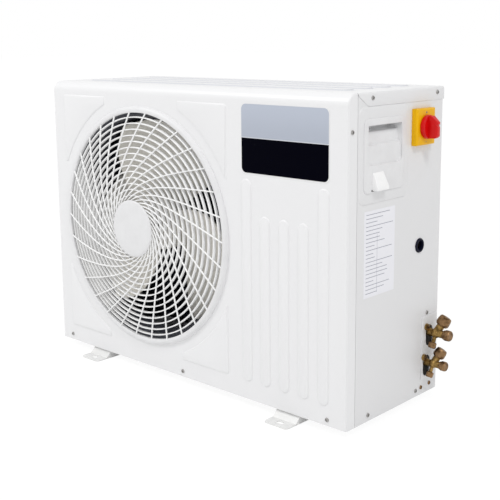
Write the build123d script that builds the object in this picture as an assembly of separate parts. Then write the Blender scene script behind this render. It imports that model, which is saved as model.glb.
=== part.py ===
"""Refrigeration condensing unit: one-fan outdoor cabinet with a hermetic scroll compressor.

Millimetres, +Z up, front towards -Y, right side towards +X.
The origin is on the floor, at the centre of the four foot bolts.
"""
from build123d import *
import math
import os

# ---------------------------------------------------------------- cabinet
CAB_W = 900.0            # outside width, left to right
CAB_D = 326.0            # outside depth, front to back
CAB_H = 650.0            # pan underside to top cover
SHEET = 1.2              # casing sheet
SEAM = 1.0               # gap between two casing sheets
CORNER_R = 4.0           # upright corners of the front panel
REAR_CORNER_R = 8.0      # bend where the side panel turns in at the rear
BULLNOSE_R = 22.0        # rounded top edge of the front panel
FRONT_RETURN = 27.0      # how far the front panel turns back at the sides and top
TOP_FLANGE = 26.5        # drop of the top cover's flanges
TOP_EDGE_R = 5.0
REAR_WRAP = 62.0         # how far the right side panel turns in at the rear
PRESSED_H = 1.2          # height of pressed lands and ribs
PRESSED_DRAFT = 40.0     # draft of their edges, degrees

# ---------------------------------------------------------------- feet
FOOT_H = 18.0            # floor to pan underside
FOOT_PITCH_X = 600.0
FOOT_PITCH_Y = 366.0
FOOT_SHEET = 2.5
FOOT_TOP_W = 60.0
FOOT_FLARE = 20.0        # how far each side wall leans out at the floor
FOOT_TAB = 18.0          # bolt to tab end
FOOT_SLOPE = 22.0        # length of the sloping end
SLOT_L = 18.0
SLOT_W = 11.0

# ---------------------------------------------------------------- air path
FAN_X = -131.0
FAN_RISE = 3.0           # fan axis above the cabinet's middle
OPENING_R = 262.0
GUARD_LAP = 12.0         # how far the guard's rim laps over the opening's edge
GUARD_RIM_R = OPENING_R + GUARD_LAP
GUARD_RIM_W = 14.0
GUARD_RIM_H = 8.0
GUARD_DOME = 26.0        # hub disc in front of the panel
GUARD_HUB_R = 65.0
GUARD_HUB_T = 4.0
RING_COUNT = 14
RING_W = 2.2
RING_D = 7.0
SPOKE_COUNT = 30
SPOKE_W = 1.8
SPOKE_D = 3.0
SPOKE_SWIRL = 27.0       # degrees: swirl = SPOKE_SWIRL * (rim radius / radius - 1)
SPOKE_STEPS = 7
THROAT_IN = 12.0         # throat inside the opening
THROAT_R = OPENING_R - THROAT_IN
THROAT_L = 62.0
THROAT_T = 2.5
THROAT_LIP = 14.0        # how far the rear lip flares out
THROAT_FLARE = 9.0       # length of the flare
THROAT_LEAD = 12.0       # length of the rounding at the mouth, and width of the flange
FAN_GAP = 10.0           # blade tips to the throat
FAN_R = THROAT_R - FAN_GAP
FAN_HUB_R = 62.0
FAN_HUB_L = 62.0
HUB_WALL = 4.0
BOSS_R = 16.0
BLADE_COUNT = 3
BLADE_SPAN = 92.0        # degrees of circle that one blade covers at its tip
BLADE_ROOT_SPAN = 104.0
BLADE_SWEEP = -29.0      # degrees by which the tip trails the root
BLADE_RISE = 88.0        # depth of the blade along the axis
BLADE_T = 3.0
BLADE_START = 152.0      # leading edge of the first blade at the hub, degrees from +X
FAN_BACK = 76.0          # front panel to the fan's middle plane
SHAFT_R = 6.0
MOTOR_R = 64.0
MOTOR_L = 78.0
MOTOR_GAP = 9.0          # fan hub to motor
NUT_AF = 19.0
NUT_H = 11.0
POST_W = 34.0
POST_D = 16.0
TIE_LOW = 46.0           # lower tie below the fan axis
TIE_HIGH = 26.0          # upper tie above the fan axis
TIE_W = 20.0
POST_PITCH = 84.0
BRACKET_SHEET = 2.0

# ---------------------------------------------------------------- coil
COIL_T = 38.0
COIL_GAP = 10.0          # coil to the wire guard's inner side
COIL_R = 70.0            # inside bend of the coil corner
COIL_RIGHT_X = 236.0     # right end of the coil's rear leg
COIL_LIFT = 8.0          # pan to coil
COIL_HEAD = 14.0         # coil to top cover
COIL_FRONT_GAP = 10.0    # front end of the left leg to the front panel's inside
BEND_COUNT = 9
BEND_R = 12.5
BEND_LOW = 55.0          # pan floor to the lowest bend
BEND_MARGIN = 90.0       # height of the coil that carries no bend
TUBE_R = 4.8
END_PLATE_T = 1.5
WIRE = 3.0
WIRE_ROWS = 8
WIRE_COLS_REAR = 9
WIRE_COLS_LEFT = 4

# ---------------------------------------------------------------- pan and partition
PAN_LIP = 20.0
PAN_CLEAR = 0.4
DRAIN_R = 8.0
DRAIN_PITCH = 100.0
DRAIN_IN = 60.0          # cabinet's rear to the drain holes
PARTITION_X = 162.0
PARTITION_FLANGE = 18.0
REAR_SLOT_L = 90.0
REAR_SLOT_W = 7.0
REAR_SLOT_PITCH = 22.0
REAR_SLOT_COUNT = 8
REAR_SLOT_DROP = 116.0   # cabinet top to the uppermost slot

# ---------------------------------------------------------------- front panel pressings
RIB_W = 25.0
RIB_PITCH = 50.0
RIB_X = 193.5            # first rib
RIB_LOW = 41.0           # pan underside to the ribs
RIB_GAP = 13.0           # tall ribs to the name plate
RIB_STEP = 72.5          # tall ribs over short ones
PAD_LEFT = 43.0          # cabinet side to the left pads
PAD_RIGHT = 268.5        # fan axis to the right pads' outer edge
PAD_TOP = 32.5           # cabinet top to the upper pads
PAD_LOW = 42.0           # pan underside to the lower pads
PAD_ARC_R = 299.5
PAD_REACH_X = 125.0      # the pad's short end, from the fan axis
PAD_REACH_Z = 130.0
PAD_CORNER_R = 5.0
NAME_X = 293.5
NAME_DROP = 98.0         # cabinet top to the plate's middle
NAME_W = 225.0
NAME_H = 141.0
NAME_R = 9.0
PLATE_T = 0.8

# ---------------------------------------------------------------- top cover
TOP_RIB_L = 790.0
TOP_RIB_W = 34.0
TOP_RIB_H = 2.5
TOP_RIB_PITCH = 62.0
TOP_RIB_COUNT = 4
FLANGE_CUT_Y = 32.0      # length of the flange's slanting front end

# ---------------------------------------------------------------- right side
GRIP_ACROSS = 83.0       # front seam to the grip's middle
GRIP_DROP = 120.8        # cabinet top to the grip's middle
GRIP_W = 132.5
GRIP_H = 141.0
GRIP_R = 13.0
GRIP_PROUD = 3.0
GRIP_EDGE_R = 2.0
GRIP_LAP = 3.5           # frame over the edge of the hole behind it
GRIP_WALL = 2.5
GRIP_DEEP = 31.0
POCKET_SHIFT = 2.0       # pocket behind the grip's middle
POCKET_W = 110.0
POCKET_UP = 59.0         # grip's middle to the pocket's upper edge
POCKET_H = 77.5
POCKET_STEP = 38.5       # height of the pocket's flat lower part
POCKET_SHALLOW = 4.0
POCKET_LIP = 8.0
POCKET_RISE = 4.5        # finger room behind the lip
POCKET_SLOT = 12.0       # pocket's upper edge to the end of the steep slope
POCKET_BEND = 24.0       # pocket's upper edge to where the scoop turns inwards
POCKET_COVE = 6.0        # depth gained by the gentle slope
POCKET_R = 12.0          # rounded lower corners
CATCH_SHIFT = 21.0       # catch in front of the grip's middle
CATCH_W = 33.5
CATCH_H = 34.0
CATCH_DROP = 32.0        # grip's middle to the catch's top
CATCH_OUT = 13.0
CATCH_TOE = 5.0          # thickness of the catch's outer edge
LAND_IN = 4.0            # front seam to the pressed land
LAND_W = 161.0
LAND_DROP = 28.5         # cabinet top to the pressed land
LAND_H = 183.0
LAND_R = 15.0
ISO_ACROSS = 213.3       # front seam to the isolator's middle
ISO_DROP = 77.3
ISO_W = 66.5
ISO_H = 73.5
ISO_T = 13.0
ISO_BEVEL = 2.5
KNOB_R = 24.0
KNOB_BASE = 9.0
KNOB_OUT = 38.0
KNOB_GRIP_T = 15.0
KNOB_GRIP_L = 46.0
KNOB_TIP_T = 12.0
KNOB_TIP_L = 32.0
KNOB_GAP = 0.4
ISO_SHAFT_R = 3.5
ISO_HOLE_GAP = 6.0       # round the shaft, in the side panel
ISO_BODY = 56.0
ISO_BODY_L = 48.0
RUN_FIT = 0.05           # radial clearance of a turning shaft
RATING_ACROSS = 75.0     # front seam to the label's middle
RATING_GAP = 14.5        # pressed land to the label
RATING_W = 102.0
RATING_H = 170.0
RATING_T = 0.4
CONDUIT_ACROSS = 217.0   # front seam to the conduit hole
CONDUIT_DROP = 322.5     # cabinet top to the conduit hole
CONDUIT_R = 13.5
GROMMET_R = 15.5
GROMMET_BORE = 10.5
GROMMET_L = 9.0

# ---------------------------------------------------------------- service valves
PLATE_IN = 9.0           # cabinet's rear to the valve plate
PLATE_W = 57.0
PLATE_RISE = 30.5        # pan underside to the valve plate
PLATE_H = 140.5
PLATE_THICK = 2.0
PLATE_R = 4.0
WINDOW_EDGE = 7.0
VALVE_OUT = 20.0         # side panel to the valve's centre
SUCTION_IN = 41.0        # cabinet's rear to the suction valve
SUCTION_RISE = 134.0     # pan underside to the suction valve
LIQUID_IN = 49.5
LIQUID_RISE = 69.0
VALVE_R = 10.5
NECK_R = 8.0
NECK_IN = 26.0           # length of the neck behind the side panel
EAR_Y = -10.0
EAR_Z = 12.5
EAR_R = 7.0
EAR_T = 5.0
HOLE_W = 26.0
HOLE_H = 46.0
HOLE_BACK = 3.0          # slot behind the valve's middle
HOLE_DROP = 9.0          # slot below the valve's middle
STEM_DIR = (0.37, 0.41, 0.83)
PORT_DIR = (-0.05, -0.42, -0.90)
STEM_NECK_R = 8.5
STEM_NECK_L = 19.0
STEM_CAP_R = 14.5
STEM_CAP_L = 22.0
STEM_R = 3.5
LINE_NECK_R = 8.0
LINE_NECK_L = 19.0
LINE_CAP_R = 11.5
LINE_CAP_L = 17.0
PORT_NECK_R = 4.2
PORT_NECK_L = 20.0
PORT_CAP_R = 8.6
PORT_CAP_L = 13.0
LIQUID_SCALE = 0.9       # the liquid valve is one size smaller

# ---------------------------------------------------------------- machinery compartment
COMP_X = 292.0
COMP_R = 83.0
COMP_H = 300.0
COMP_DOME = 46.0
COMP_FOOT = 190.0
COMP_FOOT_CUT = 14.0     # cut corners
COMP_FOOT_T = 4.0
COMP_BOLT_PITCH = 160.0
COVER_W = 56.0           # terminal cover
COVER_H = 66.0
COVER_OUT = 20.0
COVER_RISE = 170.0       # compressor's underside to the terminal cover
GROMMET_H = 20.0
COMP_GROMMET_R = 15.0
BOLT_R = 5.0
RECEIVER_X = 312.0
RECEIVER_IN = 55.0       # cabinet's rear to the receiver's middle
RECEIVER_R = 40.0
RECEIVER_H = 250.0
RECEIVER_DOME = 20.0
RECEIVER_FOOT_H = 20.0
DRIER_R = 20.0
DRIER_L = 120.0
DRIER_X = 385.0
DRIER_AHEAD = 68.0       # receiver's middle to the drier's
DRIER_LOW = 100.0        # floor to the drier's lower end
PIPE_R = 6.35
PIPE_BEND = 12.0
SUCTION_R = 9.5
SUCTION_RISER = 14.0     # valve neck to the riser's middle
SUCTION_LOOP = 140.0     # valve to the top of the loop
SUCTION_PORT = 110.0     # compressor's underside to its suction port
DISCHARGE_DROP = 46.0    # cabinet top to the discharge pipe
CONDENSATE_LOW = 34.0    # pan floor to the pipe at the coil
CONDENSATE_OUT = 26.0    # coil to the pipe's riser
CONDENSATE_OVER = 40.0   # receiver's crown to the pipe above it
LIQUID_LOW = 40.0        # pan floor to the liquid pipe
DRIER_OVER = 30.0        # drier's top to the pipe above it
GLASS_R = 11.0
GLASS_L = 24.0
EBOX_X0 = 178.0
EBOX_X1 = 384.0
EBOX_FRONT = 12.0        # front panel to the box's open front
EBOX_PIPE_GAP = 13.0     # box's back to the middle of the discharge pipe
EBOX_DROP = 30.0         # cabinet top to the box
EBOX_H = 150.0
EBOX_MARGIN = 14.0       # box's right side to the parts in it
CONTACTOR = (58.0, 62.0, 76.0)
CONTACTOR_IN = 20.0
CONTACTOR_DROP = 30.0
CONTACTOR_STEP = 12.0
CAPACITOR_R = 24.0
CAPACITOR_L = 92.0
TERMINALS = (84.0, 26.0, 30.0)
TERMINALS_DROP = 30.0
TERMINAL_WAYS = 6

# ---------------------------------------------------------------- screws
SCREW_HEAD_R = 4.4
SCREW_HEAD_H = 2.4
SCREW_R = 2.1
SCREW_L = 9.0

# worked out from the values above
X_R = CAB_W / 2
Y_F = -CAB_D / 2
Y_B = CAB_D / 2
Z_P = FOOT_H                       # pan underside
Z_T = FOOT_H + CAB_H               # top cover
Z_PAN = Z_P + SHEET                # pan floor
Y_SEAM = Y_F + FRONT_RETURN
FAN_AXIS_Z = Z_P + CAB_H / 2 + FAN_RISE
NAME_Z = Z_T - NAME_DROP           # middles of the plates and of the grip
GRIP_Z = Z_T - GRIP_DROP
ISO_Z = Z_T - ISO_DROP
LAND_Z = Z_T - LAND_DROP - LAND_H / 2
RATING_Z = LAND_Z - LAND_H / 2 - RATING_GAP - RATING_H / 2
CONDUIT_Z = Z_T - CONDUIT_DROP
LAND_Y = Y_SEAM + LAND_IN + LAND_W / 2
GRIP_Y = Y_SEAM + GRIP_ACROSS
POCKET_Y = GRIP_Y + POCKET_SHIFT
CATCH_Y = GRIP_Y - CATCH_SHIFT
ISO_Y = Y_SEAM + ISO_ACROSS
RATING_Y = Y_SEAM + RATING_ACROSS
CONDUIT_Y = Y_SEAM + CONDUIT_ACROSS
PLATE_Y1 = Y_B - PLATE_IN
PLATE_Y0 = PLATE_Y1 - PLATE_W
PLATE_Z0 = Z_P + PLATE_RISE
SUCTION_Y = Y_B - SUCTION_IN
SUCTION_Z = Z_P + SUCTION_RISE
LIQUID_Y = Y_B - LIQUID_IN
LIQUID_Z = Z_P + LIQUID_RISE
RIB_TOP = NAME_Z - NAME_H / 2 - RIB_GAP
EBOX_TOP = Z_T - EBOX_DROP
RECEIVER_Y = Y_B - RECEIVER_IN
COMP_Y = (Y_F + SHEET + RECEIVER_Y - RECEIVER_R) / 2
DRIER_Y = RECEIVER_Y - DRIER_AHEAD
FRONT = Plane(origin=(0, Y_F, 0), x_dir=(1, 0, 0), z_dir=(0, -1, 0))
RIGHT = Plane(origin=(X_R, 0, 0), x_dir=(0, 1, 0), z_dir=(1, 0, 0))
FAN = Plane(origin=(FAN_X, Y_F, FAN_AXIS_Z), x_dir=(1, 0, 0), z_dir=(0, -1, 0))


def block(x0, x1, y0, y1, z0, z1):
    """Box between two corners."""
    centre = Pos((x0 + x1) / 2, (y0 + y1) / 2, (z0 + z1) / 2)
    return centre * Box(x1 - x0, y1 - y0, z1 - z0)


def upright(x, y, z, radius, height):
    """Vertical cylinder that stands at z."""
    return Pos(x, y, z + height / 2) * Cylinder(radius, height)


def along(plane, x, y, start, end, radius):
    """Cylinder along a plane's normal, from start to end."""
    return plane * Pos(x, y, (start + end) / 2) * Cylinder(radius, end - start)


def prism(x, y, z, radius, sides, height):
    """Upright prism for small hardware; radius is the inscribed circle's."""
    return Pos(x, y, z) * extrude(RegularPolygon(radius, sides, major_radius=False), height)


def edges_where(shape, test):
    """Edges whose middle point passes the test."""
    return [edge for edge in shape.edges() if test(edge @ 0.5)]


def near(a, b):
    """Whether two lengths are equal within a hundredth of a millimetre."""
    return abs(a - b) < 0.01


def upright_edges(shape, rear):
    """Straight upright edges in the rear or in the front half."""
    return [edge for edge in shape.edges().filter_by(Axis.Z) if ((edge @ 0.5).Y > 0) == rear]


# ================================================================ pan and feet
def base_pan():
    """Pressed tray with an upturned lip, drain holes and a raised compressor seat."""
    inset = SHEET + PAN_CLEAR
    half_x, half_y = X_R - inset, Y_B - inset
    outer = block(-half_x, half_x, -half_y, half_y, Z_P, Z_P + PAN_LIP)
    inner = block(-half_x + SHEET, half_x - SHEET, -half_y + SHEET, half_y - SHEET, Z_PAN, Z_P + PAN_LIP + 1)
    for rear, radius in ((False, CORNER_R - SHEET), (True, REAR_CORNER_R - SHEET)):
        outer = fillet(upright_edges(outer, rear), radius)
        inner = fillet(upright_edges(inner, rear), radius - SHEET)
    pan = outer - inner
    for number in (-1, 0, 1):
        pan -= upright(FAN_X + DRAIN_PITCH * number, Y_B - DRAIN_IN, Z_P - 1, DRAIN_R, SHEET + 2)
    return pan


def foot_rail(x):
    """Pressed channel that runs front to back, with a slotted tab at each end."""
    half_y = FOOT_PITCH_Y / 2
    flat_y = half_y - FOOT_TAB
    full_y = flat_y - FOOT_SLOPE

    def channel(inset):
        low = FOOT_TOP_W / 2 + FOOT_FLARE - inset
        high = FOOT_TOP_W / 2 - inset
        top = FOOT_H - inset
        section = Plane.XZ * make_face(Polyline((-low, 0), (low, 0), (high, top), (-high, top), close=True))
        bar = extrude(section, half_y, both=True)
        side = Polyline((-half_y, -1), (half_y, -1), (half_y, FOOT_SHEET - inset), (flat_y, FOOT_SHEET - inset),
                        (full_y, top), (-full_y, top), (-flat_y, FOOT_SHEET - inset),
                        (-half_y, FOOT_SHEET - inset), close=True)
        return bar & extrude(Plane.YZ * make_face(side), 2 * low, both=True)

    tab_end = half_y + FOOT_TAB
    tab = block(-FOOT_TOP_W / 2, FOOT_TOP_W / 2, -tab_end, tab_end, 0, FOOT_SHEET)
    tab = fillet(tab.edges().filter_by(Axis.Z), 8.0)
    hollow = channel(FOOT_SHEET)
    rail = channel(0.0) + tab - hollow
    for y in (-half_y, half_y):
        slot = Pos(0, y, 0) * SlotOverall(SLOT_L, SLOT_W)
        rail -= extrude(slot, FOOT_SHEET * 2, both=True)
    return Pos(x, 0, 0) * rail


# ================================================================ casing
def front_form(inset, y_back, z_low):
    """Solid inside the front panel's skin, pulled in by inset."""
    half = X_R - inset
    y_front = Y_F + inset
    z_top = Z_T - inset
    radius = BULLNOSE_R - inset
    rise = Line((y_front, z_low), (y_front, z_top - radius))
    nose = RadiusArc((y_front, z_top - radius), (y_front + radius, z_top), radius)
    rest = Polyline((y_front + radius, z_top), (y_back, z_top), (y_back, z_low), (y_front, z_low))
    form = extrude(Plane.YZ * make_face(rise + nose + rest), half, both=True)
    ends = edges_where(form, lambda p: near(abs(p.X), half) and p.Y < y_back - 0.1 and p.Z > z_low + 0.1)
    return fillet(ends, CORNER_R - inset)


def corner_pad(side, rise):
    """Pressed pad between a cabinet corner and the fan guard, as a sketch about the fan axis."""
    out = PAD_RIGHT if side > 0 else PAD_LEFT - X_R - FAN_X
    up = Z_T - PAD_TOP - FAN_AXIS_Z if rise > 0 else Z_P + PAD_LOW - FAN_AXIS_Z
    in_x, in_z = side * PAD_REACH_X, rise * PAD_REACH_Z
    area = make_face(Polyline((out, up), (in_x, up), (in_x, in_z), (out, in_z), close=True))
    pad = area - Circle(PAD_ARC_R)
    corner = [point for point in pad.vertices() if near(point.X, out) and near(point.Y, up)]
    return fillet(corner, PAD_CORNER_R)


def front_ribs():
    """Sketches of the pressed ribs, tall at both ends and short between."""
    low, short = Z_P + RIB_LOW, RIB_TOP - RIB_STEP
    for number, top in enumerate((RIB_TOP, short, short, short, RIB_TOP)):
        middle = Pos(RIB_X + RIB_PITCH * number, (low + top) / 2)
        yield middle * Rot(0, 0, 90) * SlotOverall(top - low, RIB_W)


def front_panel():
    """Front sheet with bullnose top, side returns, fan opening and pressings."""
    inner = front_form(SHEET, Y_SEAM + 1, Z_P - 1)
    panel = front_form(0.0, Y_SEAM, Z_P) - inner
    panel -= along(FAN, 0, 0, -SHEET - 1, 1, OPENING_R)
    for side in (-1, 1):
        for rise in (-1, 1):
            panel += extrude(FAN * corner_pad(side, rise), PRESSED_H, taper=PRESSED_DRAFT)
    for rib in front_ribs():
        panel += extrude(FRONT * rib, PRESSED_H, taper=PRESSED_DRAFT)
    return panel


def top_cover():
    """Lid with side and rear flanges and long pressed ribs."""
    y_low = Y_SEAM + SEAM
    z_low = Z_T - TOP_FLANGE
    half = X_R + SHEET
    back = Y_B + SHEET
    lid = block(-half, half, y_low, back, z_low, Z_T)
    rim = edges_where(lid, lambda p: near(p.Z, Z_T) and not near(p.Y, y_low))
    upright_back = edges_where(lid, lambda p: near(p.Y, back) and near(abs(p.X), half))
    lid = fillet(rim + upright_back, TOP_EDGE_R)
    room = block(-X_R, X_R, y_low - 1, Y_B, z_low - 1, Z_T - SHEET)
    ceiling = edges_where(room, lambda p: near(p.Z, Z_T - SHEET) and not near(p.Y, y_low - 1))
    corners = edges_where(room, lambda p: near(p.Y, Y_B) and near(abs(p.X), X_R))
    lid -= fillet(ceiling + corners, TOP_EDGE_R - SHEET)
    slant = Polyline((y_low - 1, z_low - 1), (y_low + FLANGE_CUT_Y, z_low - 1),
                     (y_low + FLANGE_CUT_Y, z_low), (y_low, Z_T - 6), (y_low - 1, Z_T - 6), close=True)
    lid -= extrude(Plane.YZ * make_face(slant), half + 1, both=True)
    middle = (y_low + back) / 2
    for number in range(TOP_RIB_COUNT):
        y = middle + TOP_RIB_PITCH * (number - (TOP_RIB_COUNT - 1) / 2)
        rib = Plane.XY.offset(Z_T) * Pos(0, y) * SlotOverall(TOP_RIB_L, TOP_RIB_W)
        lid += extrude(rib, TOP_RIB_H, taper=PRESSED_DRAFT)
    return lid


def right_side_panel():
    """Service side: flat sheet that turns in at the rear, cut for grip, isolator, conduit and valves."""
    y_low = Y_SEAM + SEAM
    z_high = Z_T - TOP_EDGE_R - SEAM
    x_low = X_R - REAR_WRAP
    outer = block(x_low, X_R, y_low, Y_B, Z_P, z_high)
    outer = fillet(edges_where(outer, lambda p: near(p.X, X_R) and near(p.Y, Y_B)), REAR_CORNER_R)
    inner = block(x_low - 1, X_R - SHEET, y_low - 1, Y_B - SHEET, Z_P - 1, z_high + 1)
    bend = edges_where(inner, lambda p: near(p.X, X_R - SHEET) and near(p.Y, Y_B - SHEET))
    panel = outer - fillet(bend, REAR_CORNER_R - SHEET)
    land = Pos(LAND_Y, LAND_Z) * RectangleRounded(LAND_W, LAND_H, LAND_R)
    panel += extrude(RIGHT * land, PRESSED_H, taper=PRESSED_DRAFT)
    hole = Pos(GRIP_Y, GRIP_Z) * RectangleRounded(GRIP_W - 2 * GRIP_LAP, GRIP_H - 2 * GRIP_LAP, GRIP_LAP)
    panel -= extrude(RIGHT * hole, 2 * SHEET + 2, both=True)
    panel -= along(RIGHT, ISO_Y, ISO_Z, -SHEET - 1, 1, ISO_SHAFT_R + ISO_HOLE_GAP)
    panel -= along(RIGHT, CONDUIT_Y, CONDUIT_Z, -SHEET - 1, 1, CONDUIT_R)
    edge = WINDOW_EDGE
    panel -= block(X_R - SHEET - 1, X_R + 1, PLATE_Y0 + edge, PLATE_Y1 - edge,
                   PLATE_Z0 + edge, PLATE_Z0 + PLATE_H - edge)
    return panel


def rear_panel():
    """Sheet that closes the machinery compartment at the rear, between coil and side panel."""
    x_high = X_R - REAR_WRAP - SEAM
    x_low = COIL_RIGHT_X + END_PLATE_T + SEAM
    sheet = block(x_low, x_high, Y_B - SHEET, Y_B, Z_P, Z_T - TOP_EDGE_R - SEAM)
    for row in range(REAR_SLOT_COUNT):
        middle = Pos((x_low + x_high) / 2, Z_T - REAR_SLOT_DROP - REAR_SLOT_PITCH * row)
        slot = Plane.XZ * (middle * SlotOverall(REAR_SLOT_L, REAR_SLOT_W))
        sheet -= Pos(0, Y_B, 0) * extrude(slot, 3 * SHEET, both=True)
    return sheet


def partition():
    """Upright sheet between fan room and machinery room, with a stiffening flange at each end."""
    flange_x = PARTITION_X + PARTITION_FLANGE
    y0 = Y_F + 2 * SHEET + PAN_CLEAR + SEAM
    y1 = Y_B - SHEET - COIL_GAP - WIRE - COIL_T - SEAM
    top = Z_T - SHEET - SEAM
    wall = block(PARTITION_X, PARTITION_X + SHEET, y0, y1, Z_PAN, top)
    wall += block(PARTITION_X, flange_x, y0, y0 + SHEET, Z_PAN, top)
    wall += block(PARTITION_X, flange_x, y1 - SHEET, y1, Z_PAN, top)
    return wall & front_form(SHEET + SEAM, Y_B, Z_PAN)


# ================================================================ guard, inlet ring and fan
def dome_rise(radius):
    """How far the guard stands in front of the panel at a radius."""
    share = (OPENING_R - radius) / (OPENING_R - GUARD_HUB_R)
    return GUARD_RIM_H - 3 + (GUARD_DOME - GUARD_RIM_H + 3) * (1 - (1 - share) ** 2)


def fan_guard():
    """Moulded guard: rim, concentric rings and spiral spokes that lie on the rings."""
    rim_in = GUARD_RIM_R - GUARD_RIM_W
    lip = GUARD_RIM_H
    section = Polyline((rim_in, 0), (rim_in, lip - 2), (rim_in + 2.5, lip), (GUARD_RIM_R - 5, lip),
                       (GUARD_RIM_R, 2.0), (GUARD_RIM_R, 0), close=True)
    rim = revolve(Plane.XZ * make_face(section), Axis.Z)
    solids = [rim]
    pitch = (rim_in - GUARD_HUB_R) / (RING_COUNT + 0.5)
    for number in range(RING_COUNT):
        radius = GUARD_HUB_R + pitch * (number + 0.75)
        front = dome_rise(radius)
        hoop = Circle(radius + RING_W / 2) - Circle(radius - RING_W / 2)
        solids.append(Pos(0, 0, front - RING_D) * extrude(hoop, RING_D))
    for number in range(SPOKE_COUNT):
        solids.append(Rot(0, 0, 360 * number / SPOKE_COUNT) * guard_spoke(rim_in + 1))
    return [FAN * solid for solid in solids]


def guard_spoke(outer):
    """One spiral spoke; its swirl grows as the radius shrinks, so it meets the hub at a slant."""
    inner = GUARD_HUB_R - 3
    stations = []
    for step in range(SPOKE_STEPS + 1):
        radius = inner + (outer - inner) * (step / SPOKE_STEPS) ** 1.3
        angle = math.radians(SPOKE_SWIRL * (outer / radius - 1))
        turn = -math.radians(SPOKE_SWIRL) * outer / radius
        ahead = Vector(1, turn, 0).rotate(Axis.Z, math.degrees(angle))
        place = Vector(radius, 0, dome_rise(radius) + SPOKE_D / 2).rotate(Axis.Z, math.degrees(angle))
        station = Plane(origin=place, x_dir=Vector(-ahead.Y, ahead.X, 0), z_dir=ahead)
        stations.append((station * Rectangle(SPOKE_W, SPOKE_D)).face())
    return loft(stations, ruled=True)


def guard_hub_disc():
    """Plain dished disc that covers the middle of the guard."""
    z = dome_rise(GUARD_HUB_R) + SPOKE_D
    profile = Polyline((0, z), (GUARD_HUB_R, z), (GUARD_HUB_R, z + 1.5), (GUARD_HUB_R - 4, z + GUARD_HUB_T),
                       (0, z + GUARD_HUB_T + 1.5), close=True)
    return FAN * revolve(Plane.XZ * make_face(profile), Axis.Z)


def bellmouth():
    """Inlet ring behind the front panel, with a flared rear lip and a fixing flange."""
    face, flange = -SHEET, OPENING_R + THROAT_LEAD
    lead, rear = face - THROAT_LEAD, face - THROAT_L
    lip, end = THROAT_R + THROAT_LIP, rear - THROAT_FLARE
    outer = THROAT_R + THROAT_T
    outline = Polyline((flange, face), (OPENING_R - 2, face), (THROAT_R, lead), (THROAT_R, rear), (lip, end),
                       (lip + 2, end + THROAT_T), (outer, rear + THROAT_T), (outer, lead - THROAT_T / 2),
                       (OPENING_R, face - THROAT_T), (flange, face - THROAT_T), close=True)
    return FAN * revolve(Plane.XZ * make_face(outline), Axis.Z)


def blade():
    """Swept, pitched blade: a skin in cylindrical coordinates, given its thickness."""
    root = FAN_HUB_R - HUB_WALL / 2
    rows = []
    for across in range(6):
        radial = across / 5
        radius = root + (FAN_R - root) * radial
        span = BLADE_ROOT_SPAN + (BLADE_SPAN - BLADE_ROOT_SPAN) * radial
        lead = BLADE_START + BLADE_SWEEP * radial
        row = []
        for along_chord in range(9):
            chord = along_chord / 8
            round_off = 0.10 * span * (2 * chord - 1) ** 3 * radial ** 6
            angle = math.radians(lead - span * chord + round_off)
            depth = BLADE_RISE * (0.62 + 0.38 * radial)
            rise = depth * (0.5 - chord) + 9.0 * math.sin(math.pi * chord)
            row.append(Vector(radius * math.cos(angle), radius * math.sin(angle), rise))
        rows.append(row)
    skin = Face.make_surface_from_array_of_points(rows)
    return Solid.thicken(skin, BLADE_T)


def fan_blades():
    """Propeller: hub shell and three broad blades, one moulding."""
    half = FAN_HUB_L / 2
    hub = Cylinder(FAN_HUB_R, FAN_HUB_L)
    hub = fillet(edges_where(hub, lambda p: near(p.Z, half)), 12.0)
    hub -= Pos(0, 0, -HUB_WALL) * Cylinder(FAN_HUB_R - HUB_WALL, FAN_HUB_L - HUB_WALL)
    hub += Pos(0, 0, -HUB_WALL / 2) * Cylinder(BOSS_R, FAN_HUB_L - HUB_WALL)
    hub -= Cylinder(SHAFT_R, FAN_HUB_L + 2)
    wheel = hub
    for number in range(BLADE_COUNT):
        wheel += Rot(0, 0, 360 * number / BLADE_COUNT) * blade()
    return FAN * Pos(0, 0, -FAN_BACK) * wheel


def shaft_span():
    """Front and rear end of the motor shaft, along the fan's axis."""
    front = -FAN_BACK + FAN_HUB_L / 2 + NUT_H + 4
    rear = -FAN_BACK - FAN_HUB_L / 2 - MOTOR_GAP - MOTOR_L + 12
    return front, rear


def fan_shaft():
    front, rear = shaft_span()
    return along(FAN, 0, 0, rear, front, SHAFT_R)


def fan_nut():
    """Hexagon nut that clamps the hub on the shaft."""
    nut = extrude(RegularPolygon(NUT_AF / 2, 6, major_radius=False) - Circle(SHAFT_R), NUT_H)
    return FAN * Pos(0, 0, -FAN_BACK + FAN_HUB_L / 2) * nut


def fan_motor():
    """Outer-rotor style motor can with ribbed end and shaft bore."""
    front = -FAN_BACK - FAN_HUB_L / 2 - MOTOR_GAP
    can = Cylinder(MOTOR_R, MOTOR_L)
    can = chamfer(edges_where(can, lambda p: near(abs(p.Z), MOTOR_L / 2)), 7.0)
    can += Pos(0, 0, MOTOR_L / 2 + 2) * Cylinder(20, 4)
    can -= Pos(0, 0, 6) * Cylinder(SHAFT_R + RUN_FIT, MOTOR_L)
    return FAN * Pos(0, 0, front - MOTOR_L / 2) * can


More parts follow.
